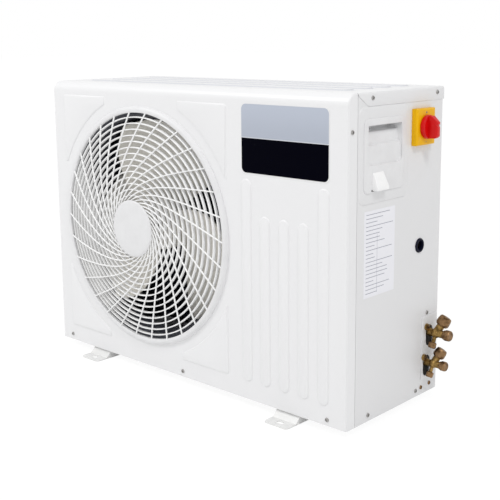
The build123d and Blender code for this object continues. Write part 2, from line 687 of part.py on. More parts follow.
def motor_bracket():
    """Two upright channels from pan to top, joined by the plate that carries the motor."""
    y0 = Y_F + FAN_BACK + FAN_HUB_L / 2 + MOTOR_GAP + MOTOR_L
    top = Z_T - SHEET - SEAM
    stand = None
    for side in (-1, 1):
        x = FAN_X + side * POST_PITCH / 2
        post = block(x - POST_W / 2, x + POST_W / 2, y0, y0 + POST_D, Z_PAN, top)
        t = BRACKET_SHEET
        post -= block(x - POST_W / 2 + t, x + POST_W / 2 - t, y0 + t, y0 + POST_D + 1, Z_PAN - 1, top + 1)
        stand = post if stand is None else stand + post
    reach = POST_PITCH / 2 - POST_W / 2
    for z in (FAN_AXIS_Z - TIE_LOW, FAN_AXIS_Z + TIE_HIGH):
        stand += block(FAN_X - reach, FAN_X + reach, y0, y0 + BRACKET_SHEET, z, z + TIE_W)
    return stand


# ================================================================ coil
def ell(outer_gap, thickness, z0, z1):
    """Upright L-shaped wall that follows the rear and left sides of the cabinet."""
    x_out = -X_R + outer_gap
    y_out = Y_B - outer_gap
    r_out = COIL_R + thickness
    front_y = Y_F + SHEET + COIL_FRONT_GAP
    outer = block(x_out, COIL_RIGHT_X, front_y, y_out, z0, z1)
    outer = fillet(edges_where(outer, lambda p: near(p.X, x_out) and near(p.Y, y_out)), r_out)
    inner = block(x_out + thickness, COIL_RIGHT_X + 1, front_y - 1, y_out - thickness, z0 - 1, z1 + 1)
    corner = edges_where(inner, lambda p: near(p.X, x_out + thickness) and near(p.Y, y_out - thickness))
    return outer - fillet(corner, COIL_R)


def coil_fins():
    """L-shaped fin pack."""
    return ell(SHEET + WIRE + COIL_GAP, COIL_T, Z_PAN + COIL_LIFT, Z_T - SHEET - COIL_HEAD)


def coil_end_plates():
    """Sheet end plates that carry the tubes, one at each end of the coil."""
    gap = SHEET + WIRE + COIL_GAP
    z0, z1 = Z_PAN, Z_T - SHEET - COIL_HEAD + 4
    rear = block(COIL_RIGHT_X, COIL_RIGHT_X + END_PLATE_T, Y_B - gap - COIL_T, Y_B - gap + 8, z0, z1)
    y = Y_F + SHEET + COIL_FRONT_GAP
    left = block(-X_R + gap - 8, -X_R + gap + COIL_T, y - END_PLATE_T, y, z0, z1)
    return [rear, left]


def coil_return_bends():
    """U-shaped tube ends on the coil's right end plate."""
    x = COIL_RIGHT_X + END_PLATE_T
    y = Y_B - SHEET - WIRE - COIL_GAP - COIL_T / 2
    pitch = (Z_T - Z_PAN - BEND_MARGIN) / BEND_COUNT
    bends = []
    for number in range(BEND_COUNT):
        z = Z_PAN + BEND_LOW + pitch * number
        hoop = Circle(BEND_R + TUBE_R) - Circle(BEND_R - TUBE_R)
        hoop &= Pos(BEND_R, 0) * Rectangle(2 * BEND_R, 4 * BEND_R)
        bends.append(Pos(x, y, z + BEND_R) * (Plane.XZ * extrude(hoop, TUBE_R, both=True)))
    return bends


def coil_guard():
    """Wire guard over the coil: upright wires, and rows that turn the corner."""
    z0 = Z_P + PAN_LIP
    z1 = Z_T - TOP_FLANGE - 4
    gap = SHEET
    wires = []
    pitch = (z1 - z0 - 24) / (WIRE_ROWS - 1)
    for row in range(WIRE_ROWS):
        z = z0 + 12 + pitch * row
        wires.append(ell_wire(gap + WIRE, z))
    rear_span = COIL_RIGHT_X + X_R - COIL_R - COIL_T - gap
    for col in range(WIRE_COLS_REAR):
        x = COIL_RIGHT_X - WIRE - rear_span * col / (WIRE_COLS_REAR - 1)
        wires.append(block(x - WIRE / 2, x + WIRE / 2, Y_B - gap - WIRE, Y_B - gap, z0, z1))
    front_y = Y_F + SHEET + COIL_FRONT_GAP
    left_span = CAB_D - COIL_R - COIL_T - SHEET - COIL_FRONT_GAP - 2 * WIRE
    for col in range(WIRE_COLS_LEFT):
        y = front_y + WIRE + left_span * col / (WIRE_COLS_LEFT - 1)
        wires.append(block(-X_R + gap, -X_R + gap + WIRE, y - WIRE / 2, y + WIRE / 2, z0, z1))
    return wires


def ell_wire(gap, z):
    """One row wire on the inner side of the upright wires."""
    return ell(gap, WIRE, z - WIRE / 2, z + WIRE / 2)


# ================================================================ right side fittings
def handle_recess():
    """Moulded hand grip: face frame, coved scoop for the fingers and the catch below it."""
    frame = extrude(RIGHT * Pos(GRIP_Y, GRIP_Z) * RectangleRounded(GRIP_W, GRIP_H, GRIP_R), GRIP_PROUD)
    frame = Pos(PRESSED_H, 0, 0) * frame
    frame = fillet(frame.faces().sort_by(Axis.X)[-1].edges(), GRIP_EDGE_R)
    face_x = X_R + PRESSED_H + GRIP_PROUD
    top = GRIP_Z + POCKET_UP
    low, high = top - POCKET_H, top + POCKET_RISE
    half = POCKET_W / 2 + GRIP_WALL
    tub = block(X_R - GRIP_DEEP, X_R + PRESSED_H, POCKET_Y - half, POCKET_Y + half,
                low - GRIP_WALL, high + GRIP_WALL)
    shallow, deep = face_x - POCKET_SHALLOW, X_R - GRIP_DEEP + GRIP_WALL
    scoop = Polyline((face_x + 1, low), (shallow, low), (shallow, low + POCKET_STEP),
                     (shallow - POCKET_COVE, top - POCKET_BEND), (deep, top - POCKET_SLOT), (deep, high),
                     (face_x - POCKET_LIP, high), (face_x - POCKET_LIP, top), (face_x + 1, top), close=True)
    cavity = extrude(Plane.XZ * make_face(scoop), POCKET_W / 2, both=True)
    mouth_h = high + POCKET_R - low
    mouth = Pos(POCKET_Y, low + mouth_h / 2) * RectangleRounded(POCKET_W, mouth_h, POCKET_R)
    cavity = (Pos(0, POCKET_Y, 0) * cavity) & extrude(RIGHT * mouth, 2 * GRIP_DEEP, both=True)
    catch_top = GRIP_Z - CATCH_DROP
    catch_low = catch_top - CATCH_H
    toe = face_x + CATCH_OUT
    catch = Polyline((face_x - 1, catch_top), (toe, catch_low + CATCH_TOE), (toe, catch_low),
                     (face_x - 1, catch_low), close=True)
    wedge = extrude(Plane.XZ * make_face(catch), CATCH_W / 2, both=True)
    return frame + tub - cavity + Pos(0, CATCH_Y, 0) * wedge


def isolator_plate():
    """Front plate of the rotary isolator, bevelled, with the shaft hole."""
    plate = Box(ISO_W, ISO_H, ISO_T)
    rim = edges_where(plate, lambda p: near(p.Z, ISO_T / 2))
    plate = chamfer(rim, ISO_BEVEL)
    plate -= Cylinder(ISO_SHAFT_R + 2, ISO_T + 2)
    return RIGHT * Pos(ISO_Y, ISO_Z, ISO_T / 2) * plate


def isolator_knob():
    """Round skirt with a raised, tapering grip bar that stands upright at rest."""
    skirt = Cylinder(KNOB_R, KNOB_BASE)
    skirt = chamfer(edges_where(skirt, lambda p: near(p.Z, KNOB_BASE / 2)), 1.5)
    tall = KNOB_OUT - KNOB_BASE
    foot = Rectangle(KNOB_GRIP_T, KNOB_GRIP_L)
    tip = Pos(0, 0, tall) * Rectangle(KNOB_TIP_T, KNOB_TIP_L)
    bar = loft([foot.face(), tip.face()])
    bar = chamfer(bar.faces().sort_by(Axis.Z)[-1].edges(), 1.5)
    knob = skirt + Pos(0, 0, KNOB_BASE / 2) * bar
    knob -= Pos(0, 0, -KNOB_BASE / 2) * Cylinder(ISO_SHAFT_R, 2 * KNOB_BASE)
    place = Pos(ISO_Y, ISO_Z, ISO_T + KNOB_GAP + KNOB_BASE / 2)
    return RIGHT * place * knob


def isolator_shaft():
    """Round shaft from the switch body into the knob."""
    front = ISO_T + KNOB_GAP + KNOB_BASE
    return along(RIGHT, ISO_Y, ISO_Z, -SHEET - ISO_BODY_L / 2, front, ISO_SHAFT_R)


def isolator_body():
    """Switch block behind the side panel."""
    body = Box(ISO_BODY, ISO_BODY, ISO_BODY_L)
    body = chamfer(body.edges().filter_by(Axis.Z), 4.0)
    bore = ISO_BODY_L / 2
    body -= Pos(0, 0, bore / 2 + 1) * Cylinder(ISO_SHAFT_R + RUN_FIT, bore + 2)
    return RIGHT * Pos(ISO_Y, ISO_Z, -SHEET - ISO_BODY_L / 2) * body


def conduit_grommet():
    """Rubber ring in the conduit hole, grooved for the sheet."""
    inner = -SHEET
    section = Polyline((GROMMET_BORE, -GROMMET_L + 3), (GROMMET_R, -GROMMET_L + 3), (GROMMET_R, inner),
                       (CONDUIT_R, inner), (CONDUIT_R, 0), (GROMMET_R, 0), (GROMMET_R - 1.5, 3),
                       (GROMMET_BORE, 3), close=True)
    ring = revolve(Plane.XZ * make_face(section), Axis.Z)
    return RIGHT * Pos(CONDUIT_Y, CONDUIT_Z) * ring


def name_plate():
    """Bare plate on the front panel."""
    plate = RectangleRounded(NAME_W, NAME_H, NAME_R)
    return extrude(FRONT * Pos(NAME_X, NAME_Z) * plate, PLATE_T)


def rating_plate():
    """Bare label on the side panel."""
    return extrude(RIGHT * Pos(RATING_Y, RATING_Z) * Rectangle(RATING_W, RATING_H), RATING_T)


def valve_plate():
    """Plate that carries both service valves, with a tall slot behind each."""
    middle = Pos(PLATE_Y0 + PLATE_W / 2, PLATE_Z0 + PLATE_H / 2)
    plate = extrude(RIGHT * middle * RectangleRounded(PLATE_W, PLATE_H, PLATE_R), PLATE_THICK)
    for y, z in ((SUCTION_Y, SUCTION_Z), (LIQUID_Y, LIQUID_Z)):
        hole = Pos(y + HOLE_BACK, z - HOLE_DROP) * Rot(0, 0, 90) * SlotOverall(HOLE_H, HOLE_W)
        plate -= extrude(RIGHT * hole, PLATE_THICK + 1)
    return plate


def branch(direction):
    """Plane at the valve's centre whose normal is a branch's direction."""
    return Plane(origin=(0, 0, 0), z_dir=direction)


def service_valve(y, z, scale):
    """Brass shut-off valve with line, stem and charging branches; returns body, stem and three caps."""
    place = Pos(X_R + VALVE_OUT, y, z)
    out, stem, port = branch((1, 0, 0)), branch(STEM_DIR), branch(PORT_DIR)
    body = Sphere(VALVE_R * scale)
    neck = VALVE_OUT + SHEET + NECK_IN
    body += out * Pos(0, 0, -neck / 2) * Cylinder(NECK_R * scale, neck)
    lengths = ((out, LINE_NECK_R, LINE_NECK_L), (stem, STEM_NECK_R, STEM_NECK_L),
               (port, PORT_NECK_R, PORT_NECK_L))
    for plane, radius, length in lengths:
        body += plane * Pos(0, 0, length * scale / 2) * Cylinder(radius * scale, length * scale)
    ear_x = -VALVE_OUT + PLATE_THICK
    ear = Pos(ear_x, EAR_Y, EAR_Z) * (Plane.YZ * extrude(Circle(EAR_R), EAR_T))
    lean = math.degrees(math.atan2(EAR_Z, EAR_Y))
    arm = Rot(lean, 0, 0) * Pos(EAR_T / 2, 0, 0) * Box(EAR_T, math.hypot(EAR_Y, EAR_Z), EAR_R * 1.3)
    body += ear + Pos(ear_x, EAR_Y / 2, EAR_Z / 2) * arm
    stem_len = STEM_NECK_L * scale
    bore = stem * Pos(0, 0, stem_len - 4) * Cylinder(STEM_R + RUN_FIT, 12)
    body -= bore
    spindle = stem * Pos(0, 0, stem_len - 2) * Cylinder(STEM_R, 14)
    cap_sizes = ((stem, STEM_CAP_R, STEM_CAP_L, stem_len, 6.5),
                 (out, LINE_CAP_R, LINE_CAP_L, LINE_NECK_L * scale, 0.0),
                 (port, PORT_CAP_R, PORT_CAP_L, PORT_NECK_L * scale, 0.0))
    caps = []
    for plane, radius, length, start, hollow in cap_sizes:
        cap = hex_cap(radius * scale, length * scale)
        if hollow:
            cap -= Pos(0, 0, hollow / 2) * Cylinder(STEM_R + 1.5, hollow)
        caps.append(place * (plane * (Pos(0, 0, start) * cap)))
    return [place * body, place * spindle] + caps


def hex_cap(radius, length):
    """Hexagon cap: round collar, tapering hexagon and a chamfered crown."""
    collar = Pos(0, 0, 1.5) * Cylinder(radius * 0.92, 3.0)
    low = Pos(0, 0, 3.0) * RegularPolygon(radius, 6)
    high = Pos(0, 0, length) * RegularPolygon(radius * 0.86, 6)
    crown = loft([low.face(), high.face()])
    crown = chamfer(crown.faces().sort_by(Axis.Z)[-1].edges(), radius * 0.14)
    return collar + crown


# ================================================================ machinery room
def compressor_bolts_at():
    half = COMP_BOLT_PITCH / 2
    return [(COMP_X + sx * half, COMP_Y + sy * half) for sx in (-1, 1) for sy in (-1, 1)]


def domed_can(radius, height, dome):
    """Closed can about +Z from z = 0, with a shallow stepped dome at each end."""
    mid = dome * 0.62
    outline = Polyline((0, 0), (radius * 0.62, 0), (radius * 0.93, mid * 0.55), (radius, dome),
                       (radius, height - dome), (radius * 0.93, height - mid * 0.55),
                       (radius * 0.62, height), (0, height), close=True)
    return revolve(Plane.XZ * make_face(outline), Axis.Z)


def compressor():
    """Hermetic scroll compressor: domed shell, square foot plate and terminal cover."""
    z = Z_PAN + GROMMET_H
    shell = Pos(COMP_X, COMP_Y, z) * domed_can(COMP_R, COMP_H, COMP_DOME)
    foot = Pos(COMP_X, COMP_Y, z + COMP_FOOT_T / 2) * Box(COMP_FOOT, COMP_FOOT, COMP_FOOT_T)
    foot = chamfer(foot.edges().filter_by(Axis.Z), COMP_FOOT_CUT)
    for x, y in compressor_bolts_at():
        foot -= prism(x, y, z - 1, BOLT_R, 8, COMP_FOOT_T + 2)
    cover = block(COMP_X - COVER_W / 2, COMP_X + COVER_W / 2, COMP_Y - COMP_R - COVER_OUT, COMP_Y,
                  z + COVER_RISE, z + COVER_RISE + COVER_H)
    return shell + foot + cover


def compressor_grommets():
    """Rubber feet between pan and compressor foot plate, round the studs."""
    feet = []
    for x, y in compressor_bolts_at():
        foot = prism(x, y, Z_PAN, COMP_GROMMET_R, 12, GROMMET_H)
        feet.append(foot - prism(x, y, Z_PAN - 1, BOLT_R, 8, GROMMET_H + 2))
    return feet


def compressor_bolts():
    """Studs welded to the pan, with a nut on top of the foot plate."""
    bolts = []
    top = Z_PAN + GROMMET_H + COMP_FOOT_T
    for x, y in compressor_bolts_at():
        stud = prism(x, y, Z_PAN, BOLT_R, 8, top + 9 - Z_PAN)
        bolts.append(stud + prism(x, y, top, 8.0, 6, 6.0))
    return bolts


def receiver():
    """Upright liquid receiver with a foot ring."""
    z = Z_PAN + RECEIVER_FOOT_H - 8
    ring = Circle(RECEIVER_R * 0.8) - Circle(RECEIVER_R * 0.8 - 3)
    tank = Pos(0, 0, z) * domed_can(RECEIVER_R, RECEIVER_H, RECEIVER_DOME)
    tank += Pos(0, 0, Z_PAN) * extrude(ring, RECEIVER_FOOT_H)
    return Pos(RECEIVER_X, RECEIVER_Y, 0) * tank


def filter_drier():
    """Upright filter drier in the liquid line: can with coned ends."""
    cone = 16.0
    outline = Polyline((0, 0), (PIPE_R + 2, 0), (DRIER_R, cone), (DRIER_R, DRIER_L - cone),
                       (PIPE_R + 2, DRIER_L), (0, DRIER_L), close=True)
    return Pos(DRIER_X, DRIER_Y, DRIER_LOW) * revolve(Plane.XZ * make_face(outline), Axis.Z)


def pipe(radius, *points):
    """Round tube, modelled solid, along straight runs with rounded corners."""
    path = FilletPolyline(*points, radius=PIPE_BEND)
    section = Plane(origin=path @ 0, z_dir=path % 0) * Circle(radius)
    return sweep(section, path)


def coil_line_y():
    """Depth of the tube row at the coil's right end."""
    return Y_B - SHEET - WIRE - COIL_GAP - COIL_T / 2


def receiver_top():
    return Z_PAN + RECEIVER_FOOT_H - 8 + RECEIVER_H


def suction_pipe():
    """From the suction valve's neck up and over to the compressor's side."""
    neck_x = X_R - SHEET - NECK_IN
    x1 = neck_x - SUCTION_RISER
    z1 = SUCTION_Z + SUCTION_LOOP
    z2 = Z_PAN + GROMMET_H + SUCTION_PORT
    return pipe(SUCTION_R, (neck_x, SUCTION_Y, SUCTION_Z), (x1, SUCTION_Y, SUCTION_Z), (x1, SUCTION_Y, z1),
                (x1, COMP_Y, z1), (x1, COMP_Y, z2), (COMP_X + COMP_R, COMP_Y, z2))


def discharge_pipe():
    """From the compressor's crown to the top of the coil."""
    z0 = Z_PAN + GROMMET_H + COMP_H
    z1 = Z_T - DISCHARGE_DROP
    y1 = coil_line_y()
    return pipe(PIPE_R, (COMP_X, COMP_Y, z0), (COMP_X, COMP_Y, z1), (COMP_X, y1, z1),
                (COIL_RIGHT_X + END_PLATE_T, y1, z1))


def condensate_pipe():
    """From the bottom of the coil to the receiver's crown."""
    y0, z0 = coil_line_y(), Z_PAN + CONDENSATE_LOW
    x0 = COIL_RIGHT_X + END_PLATE_T
    x1 = x0 + CONDENSATE_OUT
    z1 = receiver_top() + CONDENSATE_OVER
    return pipe(PIPE_R, (x0, y0, z0), (x1, y0, z0), (x1, y0, z1), (RECEIVER_X, RECEIVER_Y, z1),
                (RECEIVER_X, RECEIVER_Y, receiver_top()))


def liquid_pipe():
    """From the receiver's side, low down, to the drier's lower end."""
    z = Z_PAN + LIQUID_LOW
    return pipe(PIPE_R, (RECEIVER_X + RECEIVER_R, RECEIVER_Y, z), (DRIER_X, RECEIVER_Y, z),
                (DRIER_X, DRIER_Y, z), (DRIER_X, DRIER_Y, DRIER_LOW))


def drier_pipe():
    """From the drier's upper end over to the sight glass."""
    top = DRIER_LOW + DRIER_L
    over = top + DRIER_OVER
    end = X_R - SHEET - NECK_IN - GLASS_L
    return pipe(PIPE_R, (DRIER_X, DRIER_Y, top), (DRIER_X, DRIER_Y, over), (DRIER_X, LIQUID_Y, over),
                (DRIER_X, LIQUID_Y, LIQUID_Z), (end, LIQUID_Y, LIQUID_Z))


def sight_glass():
    """Brass sight glass between the drier pipe and the liquid valve."""
    x0 = X_R - SHEET - NECK_IN - GLASS_L
    body = Rot(0, 90, 0) * Cylinder(GLASS_R - 2, GLASS_L)
    body += Pos(0, 0, GLASS_R / 2) * Cylinder(GLASS_R * 0.8, GLASS_R)
    return Pos(x0 + GLASS_L / 2, LIQUID_Y, LIQUID_Z) * body


# ================================================================ electrical box
def box_back():
    """Front face of the electrical box's back wall."""
    return COMP_Y - EBOX_PIPE_GAP - SHEET


def electrical_box():
    """Open-fronted steel box above the compressor."""
    y0, y1 = Y_F + EBOX_FRONT, box_back()
    box = block(EBOX_X0, EBOX_X1, y0, y1 + SHEET, EBOX_TOP - EBOX_H, EBOX_TOP)
    room = block(EBOX_X0 + SHEET, EBOX_X1 - SHEET, y0 - 1, y1, EBOX_TOP - EBOX_H + SHEET, EBOX_TOP - SHEET)
    return box - room


def contactor():
    """Contactor block, stepped at top and bottom for its terminals."""
    width, depth, height = CONTACTOR
    x = EBOX_X0 + CONTACTOR_IN
    z = EBOX_TOP - CONTACTOR_DROP - height
    y = box_back()
    body = block(x, x + width, y - depth, y, z + CONTACTOR_STEP, z + height - CONTACTOR_STEP)
    return body + block(x, x + width, y - depth * 0.6, y, z, z + height)


def run_capacitor():
    """Round motor capacitor lying in the box."""
    y = box_back() - CAPACITOR_R
    z = EBOX_TOP - EBOX_H + SHEET + CAPACITOR_R
    can = Rot(0, 90, 0) * Cylinder(CAPACITOR_R, CAPACITOR_L)
    return Pos(EBOX_X1 - EBOX_MARGIN - CAPACITOR_L / 2, y, z) * can


def terminal_block():
    """Row of terminals, one notch for each way."""
    width, depth, height = TERMINALS
    x = EBOX_X1 - EBOX_MARGIN - width
    z = EBOX_TOP - TERMINALS_DROP - height
    y = box_back()
    strip = block(x, x + width, y - depth, y, z, z + height)
    pitch = width / TERMINAL_WAYS
    for way in range(TERMINAL_WAYS):
        middle = x + pitch * (way + 0.5)
        half = pitch * 0.3
        strip -= block(middle - half, middle + half, y - depth - 1, y - depth * 0.65,
                       z + half, z + height - half)
    return strip


# ================================================================ screws
SCREW_LOW = 13.0         # lower screws above the sheets' lower edge
SCREW_LEFT_IN = 39.0     # front screws from the cabinet's sides
SCREW_RIGHT_IN = 46.5
SCREW_MID_X = -6.5
SCREW_SIDE_IN = 71.0     # first side screw behind the front
SCREW_REAR_IN = 84.5     # last low side screw from the rear
SCREW_PLATE_IN = 47.0    # screw above the valve plate from the rear
SCREW_PLATE_UP = 6.0
FLANGE_SCREW_DOWN = 11.5
FLANGE_SCREW_IN = 72.0
FLANGE_REAR_IN = 29.0
RETURN_SCREW_IN = 11.0
RETURN_SCREW_DOWN = 71.5
VALVE_SCREW_IN = 64.0
VALVE_SCREW_REAR = 32.0
VALVE_SCREW_UP = 15.5
# places: sideways and upwards
FRONT_SCREWS = [(-X_R + SCREW_LEFT_IN, Z_P + SCREW_LOW + 1.5), (SCREW_MID_X, Z_P + SCREW_LOW),
                (X_R - SCREW_RIGHT_IN, Z_P + SCREW_LOW - 0.5)]
RETURN_SCREWS = [(Y_F + RETURN_SCREW_IN, Z_T - RETURN_SCREW_DOWN)]
FLANGE_SCREWS = [(Y_F + FLANGE_SCREW_IN, Z_T - FLANGE_SCREW_DOWN),
                 (Y_B - FLANGE_REAR_IN, Z_T - FLANGE_SCREW_DOWN)]
SIDE_SCREWS = [(Y_F + SCREW_SIDE_IN, Z_P + SCREW_LOW), (Y_B - SCREW_REAR_IN, Z_P + SCREW_LOW + 0.5),
               (Y_B - SCREW_PLATE_IN, PLATE_Z0 + PLATE_H + SCREW_PLATE_UP)]
VALVE_SCREWS = [(Y_B - VALVE_SCREW_IN, Z_P + VALVE_SCREW_UP),
                (Y_B - VALVE_SCREW_REAR, Z_P + VALVE_SCREW_UP + 1.5)]


def screw(plane, x, y, lift):
    """Pan-head tapping screw whose head sits on a face."""
    head = extrude(RegularPolygon(SCREW_HEAD_R, 8), SCREW_HEAD_H)
    shank = extrude(RegularPolygon(SCREW_R, 6), -SCREW_L)
    return plane * Pos(x, y, lift) * (head + shank)


def panel_screws():
    """Steel screws of front, side and top."""
    screws = [screw(FRONT, x, z, 0.0) for x, z in FRONT_SCREWS]
    screws += [screw(RIGHT, y, z, 0.0) for y, z in RETURN_SCREWS + SIDE_SCREWS]
    screws += [screw(RIGHT, y, z, SHEET) for y, z in FLANGE_SCREWS]
    return screws


def valve_screws():
    """Brass-coloured screws: two below the valve plate and one in each valve's ear."""
    screws = [screw(RIGHT, y, z, 0.0) for y, z in VALVE_SCREWS]
    for y, z in ((SUCTION_Y, SUCTION_Z), (LIQUID_Y, LIQUID_Z)):
        screws.append(screw(RIGHT, y + EAR_Y, z + EAR_Z, PLATE_THICK + EAR_T))
    return screws


# ================================================================ write the nodes
def solids_of(shape):
    """List of the solids in a shape or in a list of shapes."""
    if isinstance(shape, (list, tuple)):
        return [solid for item in shape for solid in solids_of(item)]
    return list(shape.solids())


def write(name, shape):
    solids = solids_of(shape)
    node = solids[0] if len(solids) == 1 else Compound(children=solids)
    node.label = name
    export_step(node, os.path.join("parts", name + ".step"))
    print(name, len(solids))


def main():
    os.makedirs("parts", exist_ok=True)
    half = FOOT_PITCH_X / 2
    suction = service_valve(SUCTION_Y, SUCTION_Z, 1.0)
    liquid = service_valve(LIQUID_Y, LIQUID_Z, LIQUID_SCALE)
    valve_names = ("valve", "stem", "stem_cap", "line_cap", "port_cap")
    nodes = {
        "base_pan": base_pan(),
        "left_foot_rail": foot_rail(-half),
        "right_foot_rail": foot_rail(half),
        "front_panel": front_panel(),
        "top_cover": top_cover(),
        "right_side_panel": right_side_panel(),
        "rear_panel": rear_panel(),
        "partition": partition(),
        "fan_guard": fan_guard(),
        "guard_hub_disc": guard_hub_disc(),
        "bellmouth": bellmouth(),
        "fan_blades": fan_blades(),
        "fan_shaft": fan_shaft(),
        "fan_nut": fan_nut(),
        "fan_motor": fan_motor(),
        "motor_bracket": motor_bracket(),
        "coil_fins": coil_fins(),
        "coil_end_plates": coil_end_plates(),
        "coil_return_bends": coil_return_bends(),
        "coil_guard": coil_guard(),
        "handle_recess": handle_recess(),
        "isolator_plate": isolator_plate(),
        "isolator_knob": isolator_knob(),
        "isolator_shaft": isolator_shaft(),
        "isolator_body": isolator_body(),
        "conduit_grommet": conduit_grommet(),
        "name_plate": name_plate(),
        "rating_plate": rating_plate(),
        "valve_plate": valve_plate(),
        "compressor": compressor(),
        "compressor_grommets": compressor_grommets(),
        "compressor_bolts": compressor_bolts(),
        "receiver": receiver(),
        "filter_drier": filter_drier(),
        "liquid_pipe": liquid_pipe(),
        "drier_pipe": drier_pipe(),
        "sight_glass": sight_glass(),
        "electrical_box": electrical_box(),
        "contactor": contactor(),
        "run_capacitor": run_capacitor(),
        "terminal_block": terminal_block(),
        "valve_screws": valve_screws(),
        "suction_pipe": suction_pipe(),
        "discharge_pipe": discharge_pipe(),
        "condensate_pipe": condensate_pipe(),
        "panel_screws": panel_screws(),
    }
    for name, shape in zip(valve_names, suction):
        nodes["suction_" + name] = shape
    for name, shape in zip(valve_names, liquid):
        nodes["liquid_" + name] = shape
    for name, shape in nodes.items():
        write(name, shape)


main()
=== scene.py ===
"""Dressing of a refrigeration condensing unit: finishes, detailed pieces, studio and camera.

Every piece is in metres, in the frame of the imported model: front towards -Y, service side
towards +X, floor at z = 0.
"""
import logging
import math
from dataclasses import dataclass
from enum import Enum
from typing import Sequence

import bpy
import numpy as np
from mathutils import Matrix, Vector


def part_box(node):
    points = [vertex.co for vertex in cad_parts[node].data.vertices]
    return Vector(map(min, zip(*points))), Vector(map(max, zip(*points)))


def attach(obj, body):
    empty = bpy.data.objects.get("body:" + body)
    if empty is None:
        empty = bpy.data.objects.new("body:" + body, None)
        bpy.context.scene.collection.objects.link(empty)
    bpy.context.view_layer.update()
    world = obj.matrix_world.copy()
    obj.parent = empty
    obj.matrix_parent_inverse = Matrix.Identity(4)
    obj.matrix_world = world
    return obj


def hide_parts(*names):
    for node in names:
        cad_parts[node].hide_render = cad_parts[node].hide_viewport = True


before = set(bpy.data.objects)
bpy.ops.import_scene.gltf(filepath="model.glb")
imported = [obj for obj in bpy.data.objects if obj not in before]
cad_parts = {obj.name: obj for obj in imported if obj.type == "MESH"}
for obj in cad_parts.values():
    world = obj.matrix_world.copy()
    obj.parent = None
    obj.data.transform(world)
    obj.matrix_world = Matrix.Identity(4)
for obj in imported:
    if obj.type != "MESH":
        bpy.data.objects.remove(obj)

LOG = logging.getLogger("condensing_unit")
MM = 0.001
ROOT = "cabinet"
Colour = tuple[float, float, float]
Point = tuple[float, float, float]
Profile = Sequence[tuple[float, float]]
Piece = bpy.types.Object


class Axis(Enum):
    """Axes of the frame."""

    X = 0
    Y = 1
    Z = 2


def middle(node: str) -> Point:
    """Middle of a node's box at rest."""
    return tuple((low + high) / 2 for low, high in zip(*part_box(node)))


def size(node: str) -> Point:
    """Sizes of a node's box at rest."""
    return tuple(high - low for low, high in zip(*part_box(node)))


def front_face() -> float:
    """Outer face of the front sheet, on which the back of the name plate lies."""
    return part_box("name_plate")[1][1]


def side_face() -> float:
    """Outer face of the side sheet, on which the back of the rating plate lies."""
    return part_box("rating_plate")[0][0]


# ---------------------------------------------------------------- shader maths
class Sock:
    """A node socket or number that takes part in Python arithmetic."""

    def __init__(self, paint: "Paint", value: "bpy.types.NodeSocket | float") -> None:
        """Keeps the paint that owns the socket, and the socket itself."""
        self.paint = paint
        self.value = value

    def _maths(self, operation: str, *others: "Sock | float") -> "Sock":
        """Adds one Math node.

        Args:
            operation: Name of the operation.
            others: Further operands.

        Returns:
            The node's output.
        """
        values = [self.value] + [o.value if isinstance(o, Sock) else o for o in others]
        inputs = dict(enumerate(values))
        return self.paint.node("ShaderNodeMath", {"operation": operation}, inputs)

    def __add__(self, other: "Sock | float") -> "Sock":
        """Sum."""
        return self._maths("ADD", other)

    def __sub__(self, other: "Sock | float") -> "Sock":
        """Difference."""
        return self._maths("SUBTRACT", other)

    def __rsub__(self, other: float) -> "Sock":
        """Difference from a number."""
        return Sock(self.paint, other)._maths("SUBTRACT", self)

    def __mul__(self, other: "Sock | float") -> "Sock":
        """Product."""
        return self._maths("MULTIPLY", other)

    def __truediv__(self, other: "Sock | float") -> "Sock":
        """Quotient."""
        return self._maths("DIVIDE", other)

    __radd__ = __add__
    __rmul__ = __mul__

    def fract(self) -> "Sock":
        """Fractional part."""
        return self._maths("FRACT")

    def absolute(self) -> "Sock":
        """Absolute value."""
        return self._maths("ABSOLUTE")

    def sine(self) -> "Sock":
        """Sine of an angle in radians."""
        return self._maths("SINE")

    def root(self) -> "Sock":
        """Square root."""
        return self._maths("SQRT")

    def whole(self) -> "Sock":
        """Nearest whole number below."""
        return self._maths("FLOOR")

    def at_least(self, limit: float) -> "Sock":
        """The value, or the limit where the value is lower."""
        return self._maths("MAXIMUM", limit)

    def at_most(self, limit: float) -> "Sock":
        """The value, or the limit where the value is higher."""
        return self._maths("MINIMUM", limit)

    def above(self, limit: "Sock | float") -> "Sock":
        """1 where the value is above the limit, otherwise 0."""
        return self._maths("GREATER_THAN", limit)

    def below(self, limit: "Sock | float") -> "Sock":
        """1 where the value is below the limit, otherwise 0."""
        return self._maths("LESS_THAN", limit)

    def smooth(self, low: float, high: float) -> "Sock":
        """Ramp from 0 at low to 1 at high, eased at both ends."""
        inputs = {"Value": self.value, "From Min": low, "From Max": high}
        return self.paint.node("ShaderNodeMapRange", {"interpolation_type": "SMOOTHSTEP"}, inputs)

    def scaled(self, low: float, high: float) -> "Sock":
        """0..1 spread over low..high."""
        return self * (high - low) + low


